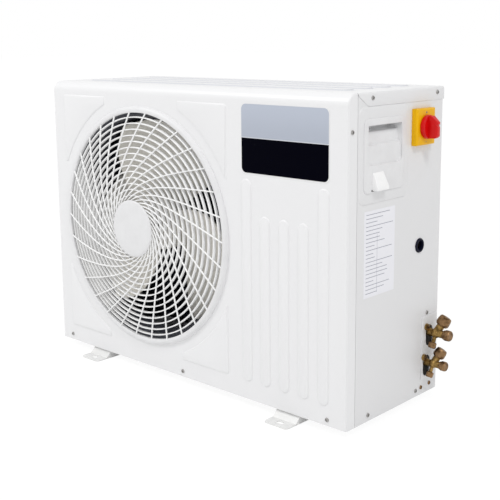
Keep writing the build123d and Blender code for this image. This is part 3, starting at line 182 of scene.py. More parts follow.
class Paint:
    """One material, built up node by node around a Principled shader."""

    def __init__(self, name: str) -> None:
        """Makes an empty material with its shader and output.

        Args:
            name: The material's name.
        """
        self.material = bpy.data.materials.new(name)
        self.material.use_nodes = True
        self.tree = self.material.node_tree
        self.tree.nodes.clear()
        self.output = self.tree.nodes.new("ShaderNodeOutputMaterial")
        self.shader = self.tree.nodes.new("ShaderNodeBsdfPrincipled")
        self.tree.links.new(self.shader.outputs[0], self.output.inputs[0])

    def node(self, kind: str, settings: dict | None = None, inputs: dict | None = None,
             output: "str | int" = 0) -> Sock:
        """Adds a node.

        Args:
            kind: Node type.
            settings: Attributes, such as a Math node's operation, which are set first.
            inputs: Values or links by socket name or number.
            output: Socket that is handed back.

        Returns:
            The chosen output.
        """
        made = self.tree.nodes.new(kind)
        for key, value in (settings or {}).items():
            setattr(made, key, value)
        for key, value in (inputs or {}).items():
            self._feed(made.inputs[key], value)
        return Sock(self, made.outputs[output])

    def _feed(self, socket: bpy.types.NodeSocket, value: object) -> None:
        """Links a socket or sets its value.

        Args:
            socket: Where the value goes.
            value: A link, a number, a colour or a vector.
        """
        value = value.value if isinstance(value, Sock) else value
        if isinstance(value, bpy.types.NodeSocket):
            self.tree.links.new(value, socket)
        elif isinstance(value, tuple) and len(value) == 3 and socket.type == "RGBA":
            socket.default_value = (*value, 1.0)
        else:
            socket.default_value = value

    def set(self, **sockets: object) -> None:
        """Sets or links the shader's sockets; spaces in their names are written as underscores."""
        for key, value in sockets.items():
            self._feed(self.shader.inputs[key.replace("_", " ")], value)

    def place(self, shift: Point = (0.0, 0.0, 0.0), scale: Point = (1.0, 1.0, 1.0),
              turn: Point = (0.0, 0.0, 0.0)) -> Sock:
        """Object coordinates in metres, moved, turned and scaled.

        Args:
            shift: What is added to them.
            scale: What they are multiplied by.
            turn: Turn about each axis, in radians.

        Returns:
            The coordinates.
        """
        base = self.node("ShaderNodeTexCoord", output="Object")
        return self.node("ShaderNodeMapping", None,
                         {"Vector": base, "Location": shift, "Rotation": turn, "Scale": scale})

    def part(self, vector: Sock, axis: Axis) -> Sock:
        """One component of a vector."""
        return self.node("ShaderNodeSeparateXYZ", None, {"Vector": vector}, axis.value)

    def noise(self, vector: Sock, scale: float, detail: float = 2.0, rough: float = 0.5) -> Sock:
        """Noise between 0 and 1."""
        inputs = {"Vector": vector, "Scale": scale, "Detail": detail, "Roughness": rough}
        return self.node("ShaderNodeTexNoise", None, inputs)

    def cells(self, vector: Sock, scale: float) -> Sock:
        """Random colour of each Voronoi cell."""
        return self.node("ShaderNodeTexVoronoi", None, {"Vector": vector, "Scale": scale}, "Color")

    def blend(self, factor: "Sock | float", first: "Sock | Colour", second: "Sock | Colour") -> Sock:
        """Colour between two colours.

        Args:
            factor: 0 for the first colour, 1 for the second.
            first: One colour.
            second: The other colour.

        Returns:
            The mixed colour.
        """
        made = self.tree.nodes.new("ShaderNodeMix")
        made.data_type = "RGBA"
        # In a colour mix the factor is input 0, the colours are inputs 6 and 7, and the result is output 2.
        self._feed(made.inputs[0], factor)
        self._feed(made.inputs[6], first)
        self._feed(made.inputs[7], second)
        return Sock(self, made.outputs[2])

    def bump(self, height: Sock, depth: float, strength: float = 1.0, under: Sock | None = None) -> Sock:
        """Bump of a depth in metres.

        Args:
            height: The pattern, from 0 to 1.
            depth: Its depth.
            strength: How much of it shows.
            under: The normal that it adds to, or None.

        Returns:
            The normal.
        """
        inputs = {"Height": height, "Distance": depth, "Strength": strength}
        if under is not None:
            inputs["Normal"] = under
        return self.node("ShaderNodeBump", None, inputs)


def linear(red: int, green: int, blue: int) -> Colour:
    """Linear colour of an sRGB triple.

    Args:
        red: 0 to 255.
        green: 0 to 255.
        blue: 0 to 255.

    Returns:
        The three linear values.
    """
    def one(level: int) -> float:
        """One channel."""
        share = level / 255
        return share / 12.92 if share <= 0.04045 else ((share + 0.055) / 1.055) ** 2.4
    return one(red), one(green), one(blue)


# ---------------------------------------------------------------- finishes
@dataclass(frozen=True)
class PowderCoat:
    """Baked powder coat on sheet steel: orange peel, faint waviness and dust in the low parts."""

    name: str
    colour: Colour
    roughness: float = 0.38
    peel: float = 0.06 * MM
    dirt: float = 0.04

    def make(self) -> bpy.types.Material:
        """Builds the material.

        Returns:
            The finished material.
        """
        paint = Paint(self.name)
        at = paint.place()
        peel = paint.noise(at, 520.0, 2.0, 0.55)
        grain = paint.noise(at, 1900.0, 1.0)
        wave = paint.noise(at, 3.2, 1.0)
        smear = paint.noise(paint.place(scale=(1.0, 1.0, 0.35)), 9.0, 4.0, 0.6)
        low = 1.0 - paint.part(at, Axis.Z).smooth(0.0, 0.16)
        darkening = smear.smooth(0.45, 0.8) * (low * 0.7 + 0.3) * self.dirt
        shade = tuple(c * 0.62 for c in self.colour)
        colour = paint.blend(darkening, self.colour, shade)
        colour = self.with_painted_shade(paint, at, colour)
        normal = paint.bump(wave, 1.2 * MM, 0.5)
        normal = paint.bump(peel, self.peel, 1.0, normal)
        normal = paint.bump(grain, self.peel * 0.25, 1.0, normal)
        gloss = smear.scaled(self.roughness - 0.05, self.roughness + 0.07)
        paint.set(Base_Color=colour, Roughness=gloss, Normal=normal, IOR=1.5)
        return paint.material

    def with_painted_shade(self, paint: Paint, at: Sock, colour: Sock) -> Sock:
        """Colour of the sheet with painted shade added: none, unless a finish adds it."""
        return colour


@dataclass(frozen=True)
class RibbedCoat(PowderCoat):
    """Powder coat of the lid, with grey lines of painted shade along the feet of its pressed ribs."""

    centre: float = 0.0
    pitch: float = 62 * MM
    width: float = 34 * MM
    length: float = 790 * MM
    rows: int = 4
    # The last three fields set the painted shade lines: their width, their share and their colour.
    spread: float = 6 * MM
    settle: float = 0.5
    darkening: Colour = (0.52, 0.54, 0.60)

    def with_painted_shade(self, paint: Paint, at: Sock, colour: Sock) -> Sock:
        """Colour with painted shade lines, which follow each rib's rounded outline.

        Args:
            paint: The material that is built.
            at: Object coordinates.
            colour: Colour of the bare sheet.

        Returns:
            The colour with its painted shade lines.
        """
        across = paint.part(at, Axis.Y) - self.centre
        row = ((across / self.pitch + self.rows / 2).fract() - 0.5).absolute() * self.pitch
        past = (paint.part(at, Axis.X).absolute() - (self.length - self.width) / 2).at_least(0.0)
        reach = (row * row + past * past).root()
        edge = (reach - self.width / 2).absolute()
        line = (1.0 - edge.smooth(0.0, self.spread)) * across.absolute().below(self.pitch * self.rows / 2)
        # Painted shade: grey lines along the foot of each rib, where the lid's relief would be shaded.
        return paint.blend(line * self.settle, colour, self.darkening)


@dataclass(frozen=True)
class Moulding:
    """Injection-moulded plastic: fine spark texture, slight sheen changes and scuffs."""

    name: str
    colour: Colour
    roughness: float = 0.42
    texture: float = 0.04 * MM
    scuff: float = 0.12
    gloss: float = 0.35

    def make(self) -> bpy.types.Material:
        """Builds the material.

        Returns:
            The finished material.
        """
        paint = Paint(self.name)
        at = paint.place()
        spark = paint.noise(at, 1500.0, 2.0, 0.6)
        flow = paint.noise(at, 26.0, 3.0, 0.6)
        scratch = paint.noise(paint.place(scale=(1.0, 7.0, 1.0), turn=(0.3, 0.2, 0.9)), 240.0, 3.0, 0.7)
        mark = scratch.smooth(0.66, 0.80) * flow.smooth(0.5, 0.72) * self.scuff
        pale = tuple(min(1.0, c * 1.25 + 0.03) for c in self.colour)
        dark = tuple(c * 0.86 for c in self.colour)
        colour = paint.blend(flow.smooth(0.35, 0.75) * 0.35, self.colour, dark)
        colour = paint.blend(mark, colour, pale)
        sheen = flow.scaled(self.roughness - 0.06, self.roughness + 0.08) + mark
        paint.set(Base_Color=colour, Roughness=sheen, Normal=paint.bump(spark, self.texture), IOR=1.48,
                  Specular_IOR_Level=self.gloss)
        return paint.material


@dataclass(frozen=True)
class Zinc:
    """Galvanised sheet: spangled crystals that differ in shade and gloss."""

    name: str
    colour: Colour = (0.56, 0.58, 0.60)
    spangle: float = 95.0
    roughness: float = 0.42

    def make(self) -> bpy.types.Material:
        """Builds the material.

        Returns:
            The finished material.
        """
        paint = Paint(self.name)
        at = paint.place()
        shade = paint.part(paint.cells(at, self.spangle), Axis.X)
        bloom = paint.noise(at, 30.0, 4.0, 0.6)
        dark = tuple(c * 0.72 for c in self.colour)
        colour = paint.blend(shade * 0.75 + bloom * 0.25, dark, self.colour)
        gloss = shade.scaled(self.roughness - 0.10, self.roughness + 0.14)
        paint.set(Base_Color=colour, Metallic=0.85, Roughness=gloss, Normal=paint.bump(bloom, 0.12 * MM))
        return paint.material


@dataclass(frozen=True)
class Metal:
    """Bare or plated metal with fine pits, tarnish and worn gloss."""

    name: str
    colour: Colour
    tarnish: Colour
    roughness: float = 0.3
    amount: float = 0.5
    grain: float = 0.05 * MM
    pitch: float = 900.0

    def make(self) -> bpy.types.Material:
        """Builds the material.

        Returns:
            The finished material.
        """
        paint = Paint(self.name)
        at = paint.place()
        cloud = paint.noise(at, 90.0, 5.0, 0.65)
        pit = paint.noise(at, self.pitch, 2.0, 0.6)
        stain = cloud.smooth(0.42, 0.72) * self.amount
        colour = paint.blend(stain, self.colour, self.tarnish)
        deep = tuple(c * 0.5 for c in self.tarnish)
        colour = paint.blend(pit.smooth(0.6, 0.8) * 0.3 * self.amount, colour, deep)
        worn = cloud.scaled(self.roughness - 0.08, self.roughness + 0.16) + stain * 0.1
        paint.set(Base_Color=colour, Metallic=1.0, Roughness=worn, Normal=paint.bump(pit, self.grain))
        return paint.material


@dataclass(frozen=True)
class Rubber:
    """Moulded rubber with a dusty bloom."""

    name: str
    colour: Colour
    roughness: float = 0.7

    def make(self) -> bpy.types.Material:
        """Builds the material.

        Returns:
            The finished material.
        """
        paint = Paint(self.name)
        at = paint.place()
        bloom = paint.noise(at, 60.0, 4.0, 0.6)
        fine = paint.noise(at, 2200.0, 1.0)
        dusty = tuple(c + 0.035 for c in self.colour)
        paint.set(Base_Color=paint.blend(bloom.smooth(0.4, 0.75) * 0.6, self.colour, dusty),
                  Roughness=bloom.scaled(self.roughness - 0.1, self.roughness + 0.12),
                  Normal=paint.bump(fine, 0.05 * MM))
        return paint.material


@dataclass(frozen=True)
class Fins:
    """Coil face: thin upright aluminium fins with painted shade between them, bent here and there."""

    name: str
    colour: Colour = (0.085, 0.105, 0.16)
    tube: Colour = (0.12, 0.075, 0.05)
    grime: Colour = (0.07, 0.065, 0.06)
    pitch: float = 1.8 * MM
    tube_pitch: float = 25.4 * MM
    sway: float = 1.1 * MM
    depth: float = 1 * MM

    def make(self) -> bpy.types.Material:
        """Builds the material.

        Returns:
            The finished material.
        """
        paint = Paint(self.name)
        at = paint.place()
        bend = paint.noise(paint.place(scale=(1.0, 1.0, 0.25)), 40.0, 3.0, 0.6) * self.sway
        run = (paint.part(at, Axis.X) + paint.part(at, Axis.Y) + bend) / self.pitch
        ridge = (run.fract() - 0.5).absolute() * 2.0
        gap_relief_and_shade = ridge.smooth(0.25, 0.75)
        tubes = (paint.part(at, Axis.Z) / self.tube_pitch * math.tau).sine().smooth(0.55, 0.95)
        # Painted shade: between the fins the colour drops to a tenth.
        colour = paint.blend(gap_relief_and_shade, self.colour, tuple(c * 0.10 for c in self.colour))
        colour = paint.blend(tubes * 0.30, colour, self.tube)
        grime = paint.noise(at, 14.0, 4.0, 0.6).smooth(0.5, 0.75)
        colour = paint.blend(grime * 0.25, colour, self.grime)
        paint.set(Base_Color=colour, Metallic=0.2, Roughness=gap_relief_and_shade.scaled(0.42, 0.8),
                  Normal=paint.bump(1.0 - gap_relief_and_shade, self.depth))
        return paint.material


@dataclass(frozen=True)
class TwoTone:
    """Printed plate: brushed silver-blue over near-black navy, thin light split line and pale border."""

    name: str
    centre: Point
    width: float
    height: float
    corner: float
    upper: Colour
    lower: Colour
    split: float
    border: float = 1.1 * MM
    line: float = 1.6 * MM
    line_colour: Colour = (0.62, 0.64, 0.68)
    border_colour: Colour = (0.80, 0.80, 0.80)

    def make(self) -> bpy.types.Material:
        """Builds the material.

        Returns:
            The finished material.
        """
        paint = Paint(self.name)
        at = paint.place(shift=tuple(-c for c in self.centre))
        along, up = paint.part(at, Axis.X), paint.part(at, Axis.Z)
        brush = paint.noise(paint.place(scale=(1.0, 1.0, 40.0)), 60.0, 3.0, 0.6)
        sheen = up.smooth(self.split, self.height / 2)
        bright = tuple(min(1.0, c * 1.35) for c in self.upper)
        top = paint.blend(sheen * 0.35 + brush * 0.1, self.upper, bright)
        colour = paint.blend(up.above(self.split), self.lower, top)
        rule = (up - self.split).absolute().below(self.line / 2)
        corner_x = (along.absolute() - (self.width / 2 - self.corner)).at_least(0.0)
        corner_z = (up.absolute() - (self.height / 2 - self.corner)).at_least(0.0)
        rim = (corner_x * corner_x + corner_z * corner_z).root().above(self.corner - self.border)
        colour = paint.blend(rule, colour, self.line_colour)
        colour = paint.blend(rim, colour, self.border_colour)
        speck = paint.noise(paint.place(), 1400.0, 2.0)
        paint.set(Base_Color=colour, Roughness=brush.scaled(0.40, 0.50), Normal=paint.bump(speck, 0.02 * MM),
                  Specular_IOR_Level=0.02)
        return paint.material


@dataclass(frozen=True)
class RuledLabel:
    """White film label with ruled lines of uneven length and one short upright line, and no wording."""

    name: str
    centre: Point
    width: float
    height: float
    rows: int = 22
    margin: float = 6 * MM
    weight: float = 0.16
    shortest: float = 0.30
    longest: float = 0.96
    column: float = 0.8 * MM
    column_in: float = 0.08
    column_up: float = 0.22
    ink: Colour = (0.30, 0.31, 0.37)

    def make(self) -> bpy.types.Material:
        """Builds the material.

        Returns:
            The finished material.
        """
        paint = Paint(self.name)
        at = paint.place(shift=tuple(-c for c in self.centre))
        along, up = paint.part(at, Axis.Y), paint.part(at, Axis.Z)
        pitch = self.height / self.rows
        # The sine of large steps, multiplied up, scatters the lines' lengths.
        scatter = ((up / pitch).whole() * 12.9898).sine() * 43758.5
        length = scatter.fract().scaled(self.shortest, self.longest)
        inside = along.absolute().below(self.width / 2 - self.margin)
        inside = inside * up.absolute().below(self.height / 2 - self.margin)
        rule = (up / pitch).fract().below(self.weight) * inside * (along / self.width + 0.5).below(length)
        column = (along + self.width * self.column_in).absolute().below(self.column / 2)
        column = column * inside * up.below(self.height * self.column_up)
        faint = paint.noise(paint.place(), 30.0, 3.0)
        paper = paint.blend(faint * 0.10, linear(238, 238, 243), linear(214, 215, 218))
        colour = paint.blend((rule + column).at_most(1.0), paper, self.ink)
        fine = paint.noise(paint.place(), 900.0, 2.0)
        paint.set(Base_Color=colour, Roughness=faint.scaled(0.42, 0.55), Normal=paint.bump(fine, 0.02 * MM))
        return paint.material


class Finishes:
    """All finishes, each built once and looked up by the record's slot names."""

    # The catch's and the lattice's finishes are brighter copies of their slots' white, as painted light; the
    # lid's is a darker copy with painted shade lines.
    SLOT_OF = {"catch_white_painted_light": "grip_white", "lattice_white_painted_light": "guard_white", "lid_white_painted_shade": "casing_white"}

    def __init__(self) -> None:
        """Builds the materials."""
        plate, label = size("name_plate"), size("rating_plate")
        finishes = [
            PowderCoat("casing_white", linear(233, 233, 234)),
            # The lid's white is a darker copy of the casing's, as painted shade, and carries the painted
            # shade lines of its ribs.
            RibbedCoat("lid_white_painted_shade", linear(228, 228, 229), centre=middle("top_cover")[1]),
            PowderCoat("side_white", linear(226, 226, 227)),
            # The bellmouth's white is painted dark grey, as painted shade inside the fan opening.
            PowderCoat("inlet_white", linear(72, 74, 82), roughness=0.5),
            PowderCoat("foot_white", linear(229, 229, 228), dirt=0.01),
            Moulding("guard_white", linear(228, 228, 229)),
            Moulding("grip_white", linear(229, 229, 230), roughness=0.36),
            # The catch's white is a brighter copy of the grip's, as painted light on its sloping face.
            Moulding("catch_white_painted_light", linear(248, 248, 248), roughness=0.36),
            # The rings and spokes take a brighter copy of the guard's white, as painted light.
            Moulding("lattice_white_painted_light", linear(250, 250, 250)),
            Moulding("fan_grey", linear(222, 219, 211), roughness=0.45),
            Moulding("switch_yellow", linear(238, 182, 4), roughness=0.36, scuff=0.05, gloss=0.2),
            Moulding("knob_red", linear(212, 4, 6), roughness=0.30, scuff=0.05, gloss=0.3),
            Moulding("switch_grey", linear(110, 112, 115)),
            Moulding("grommet_navy", linear(8, 10, 34), roughness=0.5, scuff=0.02, gloss=0.15),
            Zinc("galvanised"),
            Metal("bare_steel", (0.42, 0.41, 0.40), (0.20, 0.19, 0.17), amount=0.4),
            Metal("copper", (0.72, 0.36, 0.20), (0.30, 0.15, 0.09), amount=0.6),
            Metal("valve_brass", linear(160, 130, 78), linear(74, 56, 30), roughness=0.40, amount=0.9,
                  grain=0.12 * MM, pitch=700.0),
            Metal("cap_brass", linear(142, 112, 80), linear(62, 44, 28), roughness=0.36, amount=0.9,
                  grain=0.08 * MM),
            Metal("guard_wire", linear(190, 192, 194), linear(120, 122, 124), roughness=0.35, amount=0.3),
            PowderCoat("motor_black", linear(26, 27, 30), roughness=0.5),
            PowderCoat("compressor_black", linear(20, 20, 22), roughness=0.4),
            PowderCoat("receiver_black", linear(24, 24, 26), roughness=0.4),
            PowderCoat("drier_green", linear(40, 92, 60), roughness=0.4),
            Rubber("rubber_black", (0.02, 0.02, 0.02)),
            Fins("coil_fin"),
            TwoTone("name_plate", middle("name_plate"), width=plate[0], height=plate[2], corner=12.5 * MM,
                    upper=linear(175, 181, 193), lower=linear(0, 0, 9), split=2 * MM),
            RuledLabel("label_paper", middle("rating_plate"), width=label[1], height=label[2]),
        ]
        self.materials = {finish.name: finish.make() for finish in finishes}

    def dress(self, piece: Piece, finish: str) -> None:
        """Gives a piece one finish.

        Args:
            piece: The piece.
            finish: Name of the finish, which is its slot unless SLOT_OF names another.
        """
        piece.data.materials.clear()
        piece.data.materials.append(self.materials[finish])

    def dress_frame(self) -> None:
        """Gives every carried-over node the finish that its slot asks for."""
        for name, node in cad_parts.items():
            for holder in node.material_slots:
                wanted = holder.material.name.split(".")[0] if holder.material else ""
                if wanted in self.materials:
                    holder.material = self.materials[wanted]
                else:
                    LOG.warning("node %s has no finish for slot %s", name, wanted)


# ---------------------------------------------------------------- modelling
FACING_FRONT = Matrix(((1, 0, 0), (0, 0, -1), (0, 1, 0))).to_4x4()
FACING_RIGHT = Matrix(((0, 0, 1), (1, 0, 0), (0, 1, 0))).to_4x4()


class Bench:
    """Modelling steps that the sub-assemblies share. Sizes given to it are in metres."""

    @staticmethod
    def pick(piece: Piece) -> None:
        """Selects one piece alone and makes it the active one.

        Args:
            piece: The piece.
        """
        bpy.ops.object.select_all(action="DESELECT")
        bpy.context.view_layer.objects.active = piece
        piece.select_set(True)

    @staticmethod
    def adopt(name: str, mesh: bpy.types.Mesh) -> Piece:
        """Makes a piece of a mesh and picks it.

        Args:
            name: The piece's name.
            mesh: Its mesh.

        Returns:
            The piece.
        """
        piece = bpy.data.objects.new(name, mesh)
        bpy.context.collection.objects.link(piece)
        Bench.pick(piece)
        return piece

    @staticmethod
    def mend(merge: float = 1e-6, flat: float = 0.0) -> None:
        """Merges doubles, dissolves flat edges if asked, and turns the normals outwards.

        Args:
            merge: Distance under which points are one.
            flat: Angle in degrees under which an edge is flat, or 0 to keep every edge.
        """
        bpy.ops.object.mode_set(mode="EDIT")
        bpy.ops.mesh.select_all(action="SELECT")
        bpy.ops.mesh.remove_doubles(threshold=merge)
        if flat:
            bpy.ops.mesh.dissolve_limited(angle_limit=math.radians(flat))
        bpy.ops.mesh.normals_make_consistent(inside=False)
        bpy.ops.object.mode_set(mode="OBJECT")

    @staticmethod
    def spin(steps: int, angle: float, copies: bool = False) -> None:
        """Spins the active mesh about +Z.

        Args:
            steps: Divisions of the angle.
            angle: How far it is spun, in radians.
            copies: Whether the mesh is copied at each step, instead of drawn out.
        """
        bpy.ops.object.mode_set(mode="EDIT")
        bpy.ops.mesh.select_all(action="SELECT")
        bpy.ops.mesh.spin(steps=steps, dupli=copies, angle=angle, center=(0.0, 0.0, 0.0),
                          axis=(0.0, 0.0, 1.0))
        bpy.ops.object.mode_set(mode="OBJECT")

    @staticmethod
    def lathe(name: str, profiles: Sequence[Profile], steps: int = 96, closed: bool = True) -> Piece:
        """Spins profiles about +Z.

        Args:
            name: The piece's name.
            profiles: Chains of radius and height.
            steps: Divisions of the circle.
            closed: Whether each chain's end joins its start.

        Returns:
            The piece, at the origin.
        """
        points, edges = [], []
        for profile in profiles:
            first = len(points)
            points += [(radius, 0.0, height) for radius, height in profile]
            edges += [(first + i, first + i + 1) for i in range(len(profile) - 1)]
            if closed:
                edges.append((len(points) - 1, first))
        mesh = bpy.data.meshes.new(name)
        mesh.from_pydata(points, edges, [])
        piece = Bench.adopt(name, mesh)
        Bench.spin(steps, math.tau)
        Bench.mend()
        return piece

    @staticmethod
    def loft(name: str, rings: Sequence[Sequence[Point]], closed: bool = False) -> Piece:
        """Skins outlines that have the same number of points.

        Args:
            name: The piece's name.
            rings: The outlines, in order.
            closed: Whether the last outline joins the first. Otherwise a face closes each end.

        Returns:
            The solid.
        """
        around, count = len(rings[0]), len(rings)
        faces = [] if closed else [tuple(range(around)), tuple(range((count - 1) * around, count * around))]
        for number in range(count if closed else count - 1):
            here, there = number * around, (number + 1) % count * around
            for i in range(around):
                j = (i + 1) % around
                faces.append((here + i, here + j, there + j, there + i))
        mesh = bpy.data.meshes.new(name)
        mesh.from_pydata([point for ring in rings for point in ring], [], faces)
        piece = Bench.adopt(name, mesh)
        Bench.mend()
        return piece

    @staticmethod
    def sweep(name: str, path: Sequence[Vector], sides: Sequence[Vector], section: Profile) -> Piece:
        """Carries a section along an open path.

        Args:
            name: The piece's name.
            path: Points of the path.
            sides: Direction of the section's first axis at each point.
            section: Outline of the section, along the side and along the third axis.

        Returns:
            The piece.
        """
        rings = []
        for number, (place, side) in enumerate(zip(path, sides)):
            after, before = path[min(number + 1, len(path) - 1)], path[max(number - 1, 0)]
            third = (after - before).normalized().cross(side).normalized()
            rings.append([place + side * a + third * b for a, b in section])
        return Bench.loft(name, rings)

    @staticmethod
    def ridge(name: str, outline: Profile, left: float, right: float) -> Piece:
        """Carries an outline of second and third coordinates along the first axis.

        Args:
            name: The piece's name.
            outline: The outline.
            left: Where it starts.
            right: Where it ends.

        Returns:
            The solid.
        """
        return Bench.loft(name, [[(x, a, b) for a, b in outline] for x in (left, right)])

    @staticmethod
    def rounded(width: float, height: float, radius: float, divisions: int) -> list[tuple[float, float]]:
        """Outline of a rounded rectangle about the origin.

        Args:
            width: Size along the first axis.
            height: Size along the second axis.
            radius: Radius of the corners.
            divisions: Steps in each corner.

        Returns:
            The points, anticlockwise.
        """
        points = []
        for corner, (a, b) in enumerate(((1, 1), (-1, 1), (-1, -1), (1, -1))):
            for step in range(divisions + 1):
                turn = math.radians(90 * corner + 90 * step / divisions)
                points.append((a * (width / 2 - radius) + radius * math.cos(turn),
                               b * (height / 2 - radius) + radius * math.sin(turn)))
        return points

    @staticmethod
    def slab(name: str, width: float, height: float, radius: float, base: float, top: float,
             shift: tuple[float, float] = (0.0, 0.0)) -> Piece:
        """Flat block with rounded upright corners.

        Args:
            name: The piece's name.
            width: Size along the first axis.
            height: Size along the second axis.
            radius: Radius of the corners.
            base: Lowest third coordinate.
            top: Highest third coordinate.
            shift: Where its middle goes on the first two axes.

        Returns:
            The block.
        """
        outline = Bench.rounded(width, height, radius, 8)
        return Bench.loft(name, [[(a + shift[0], b + shift[1], z) for a, b in outline] for z in (base, top)])

    @staticmethod
    def settle(piece: Piece, matrix: Matrix) -> None:
        """Moves a piece by its mesh, so that its object stays at the origin.

        Args:
            piece: The piece.
            matrix: How it is moved.
        """
        piece.data.transform(matrix @ piece.matrix_basis)
        piece.matrix_basis = Matrix.Identity(4)
        piece.data.update()

    @staticmethod
    def smooth(piece: Piece, angle: float = 35.0) -> None:
        """Smooths the shading where faces meet at less than an angle."""
        Bench.pick(piece)
        bpy.ops.object.shade_smooth_by_angle(angle=math.radians(angle))

    @staticmethod
    def ease(piece: Piece, width: float, segments: int = 2, angle: float = 30.0) -> None:
        """Rounds the edges that are sharper than an angle.

        Args:
            piece: The piece.
            width: Width of the rounding.
            segments: Steps across it.
            angle: The angle, in degrees.
        """
        bpy.context.view_layer.objects.active = piece
        bevel = piece.modifiers.new("eased", "BEVEL")
        bevel.width = width
        bevel.segments = segments
        bevel.limit_method = "ANGLE"
        bevel.angle_limit = math.radians(angle)
        bevel.use_clamp_overlap = True
        bpy.ops.object.modifier_apply(modifier=bevel.name)
        Bench.smooth(piece)

    @staticmethod
    def combine(piece: Piece, other: Piece, operation: str) -> None:
        """Joins, cuts or intersects a piece with another, which is used up.

        Args:
            piece: The piece that stays.
            other: The piece that is used up.
            operation: UNION, DIFFERENCE or INTERSECT.
        """
        Bench.pick(piece)
        boolean = piece.modifiers.new("combined", "BOOLEAN")
        boolean.operation = operation
        boolean.object = other
        bpy.ops.object.modifier_apply(modifier=boolean.name)
        bpy.data.objects.remove(other)

    @staticmethod
    def keep(piece: Piece, finish: str, finishes: Finishes, *nodes: str, body: str = ROOT) -> None:
        """Dresses a finished piece, lets it ride and hides the nodes that it stands for.

        Args:
            piece: The piece.
            finish: Name of its finish.
            finishes: All finishes.
            nodes: The nodes that it replaces, if any.
            body: The body that it rides on.
        """
        finishes.dress(piece, finish)
        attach(piece, body)
        if nodes:
            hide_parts(*nodes)
        LOG.info("%s: %d faces, on %s", piece.name, len(piece.data.polygons), body)


# ---------------------------------------------------------------- sub-assemblies
@dataclass
class FanGuard:
    """Domed guard: rim, concentric rings, spiral spokes and the plain hub disc."""

    rim_width: float = 14 * MM
    rim_height: float = 8 * MM
    rim_step: float = 3 * MM
    dome: float = 26 * MM
    hub_radius: float = 65 * MM
    opening: float = 262 * MM
    rings: int = 14
    ring_width: float = 2.6 * MM
    ring_depth: float = 7 * MM
    ring_round: float = 0.8 * MM
    spokes: int = 30
    spoke_width: float = 2.5 * MM
    spoke_depth: float = 3 * MM
    spoke_steps: int = 24
    spoke_crowding: float = 1.3
    swirl: float = 27.0

    def __post_init__(self) -> None:
        """Finds the guard's radius and its place on the front sheet."""
        self.radius = size("fan_guard")[0] / 2
        self.inner = self.radius - self.rim_width
        x, _, z = middle("fan_guard")
        self.place = Matrix.Translation((x, front_face(), z)) @ FACING_FRONT

    def rise(self, radius: float) -> float:
        """How far the guard stands in front of the sheet.

        Args:
            radius: Distance from the guard's axis.

        Returns:
            The height there.
        """
        share = (self.opening - radius) / (self.opening - self.hub_radius)
        edge = self.rim_height - self.rim_step
        return edge + (self.dome - edge) * (1 - (1 - share) ** 2)

    def rim(self) -> Piece:
        """Outer rim, rolled on both edges.

        Returns:
            The rim.
        """
        inner, outer, top = self.inner, self.radius, self.rim_height
        profile = [(inner, 0.0), (inner, top - 1.8 * MM), (inner + 0.7 * MM, top - 0.6 * MM),
                   (inner + 2.0 * MM, top), (inner + 6.5 * MM, top), (inner + 9.0 * MM, top - 0.7 * MM),
                   (inner + 11.2 * MM, top - 2.2 * MM), (outer - 0.8 * MM, top - 4.6 * MM),
                   (outer, top - 6.4 * MM), (outer, 0.0)]
        return Bench.lathe("guard_rim", [profile], 192)

    def ring_set(self) -> Piece:
        """Concentric rings with rounded fronts.

        Returns:
            All rings as one piece.
        """
        pitch = (self.inner - self.hub_radius) / (self.rings + 0.5)
        half = self.ring_width / 2
        profiles = []
        for number in range(self.rings):
            radius = self.hub_radius + pitch * (number + 0.75)
            front = self.rise(radius)
            back, shoulder = front - self.ring_depth, front - self.ring_round
            profiles.append([(radius - half, back), (radius - half, shoulder), (radius - half * 0.5, front),
                             (radius + half * 0.5, front), (radius + half, shoulder), (radius + half, back)])
        return Bench.lathe("guard_rings", profiles, 144)

    def spoke_set(self) -> Piece:
        """Spiral spokes that lie on the rings.

        Returns:
            All spokes as one piece.
        """
        start, end = self.hub_radius - 3 * MM, self.inner + 1 * MM
        path, sides = [], []
        for step in range(self.spoke_steps + 1):
            radius = start + (end - start) * (step / self.spoke_steps) ** self.spoke_crowding
            here = Matrix.Rotation(math.radians(self.swirl) * (end / radius - 1), 3, "Z")
            lean = math.radians(self.swirl) * end / radius
            path.append(here @ Vector((radius, 0.0, self.rise(radius) + self.spoke_depth / 2)))
            sides.append((here @ Vector((lean, 1.0, 0.0))).normalized())
        half, deep = self.spoke_width / 2, self.spoke_depth / 2
        section = [(-half, -deep), (half, -deep), (half, deep * 0.5), (half * 0.5, deep), (-half * 0.5, deep),
                   (-half, deep * 0.5)]
        piece = Bench.sweep("guard_spokes", path, sides, section)
        Bench.spin(self.spokes - 1, math.tau * (self.spokes - 1) / self.spokes, copies=True)
        return piece

    def hub(self) -> Piece:
        """Dished disc with a rolled edge.

        Returns:
            The disc.
        """
        radius = self.hub_radius
        base = self.rise(radius) + self.spoke_depth
        profile = [(0.0, base), (radius - 1.5 * MM, base), (radius, base + 0.9 * MM),
                   (radius - 0.3 * MM, base + 2.0 * MM), (radius - 1.6 * MM, base + 3.1 * MM),
                   (radius - 4 * MM, base + 3.9 * MM), (radius - 12 * MM, base + 4.5 * MM),
                   (radius * 0.5, base + 5.2 * MM), (0.0, base + 5.5 * MM)]
        return Bench.lathe("guard_hub", [profile], 128, closed=False)

    def build(self, finishes: Finishes) -> None:
        """Makes, places and dresses the guard.

        Args:
            finishes: All finishes.
        """
        # The rings and spokes take a brighter copy of the guard's white, as painted light.
        for piece, finish, node in ((self.rim(), "guard_white", "fan_guard"),
                                    (self.ring_set(), "lattice_white_painted_light", "fan_guard"),
                                    (self.spoke_set(), "lattice_white_painted_light", "fan_guard"),
                                    (self.hub(), "guard_white", "guard_hub_disc")):
            Bench.settle(piece, self.place)
            Bench.smooth(piece, 40.0)
            Bench.keep(piece, finish, finishes, node)


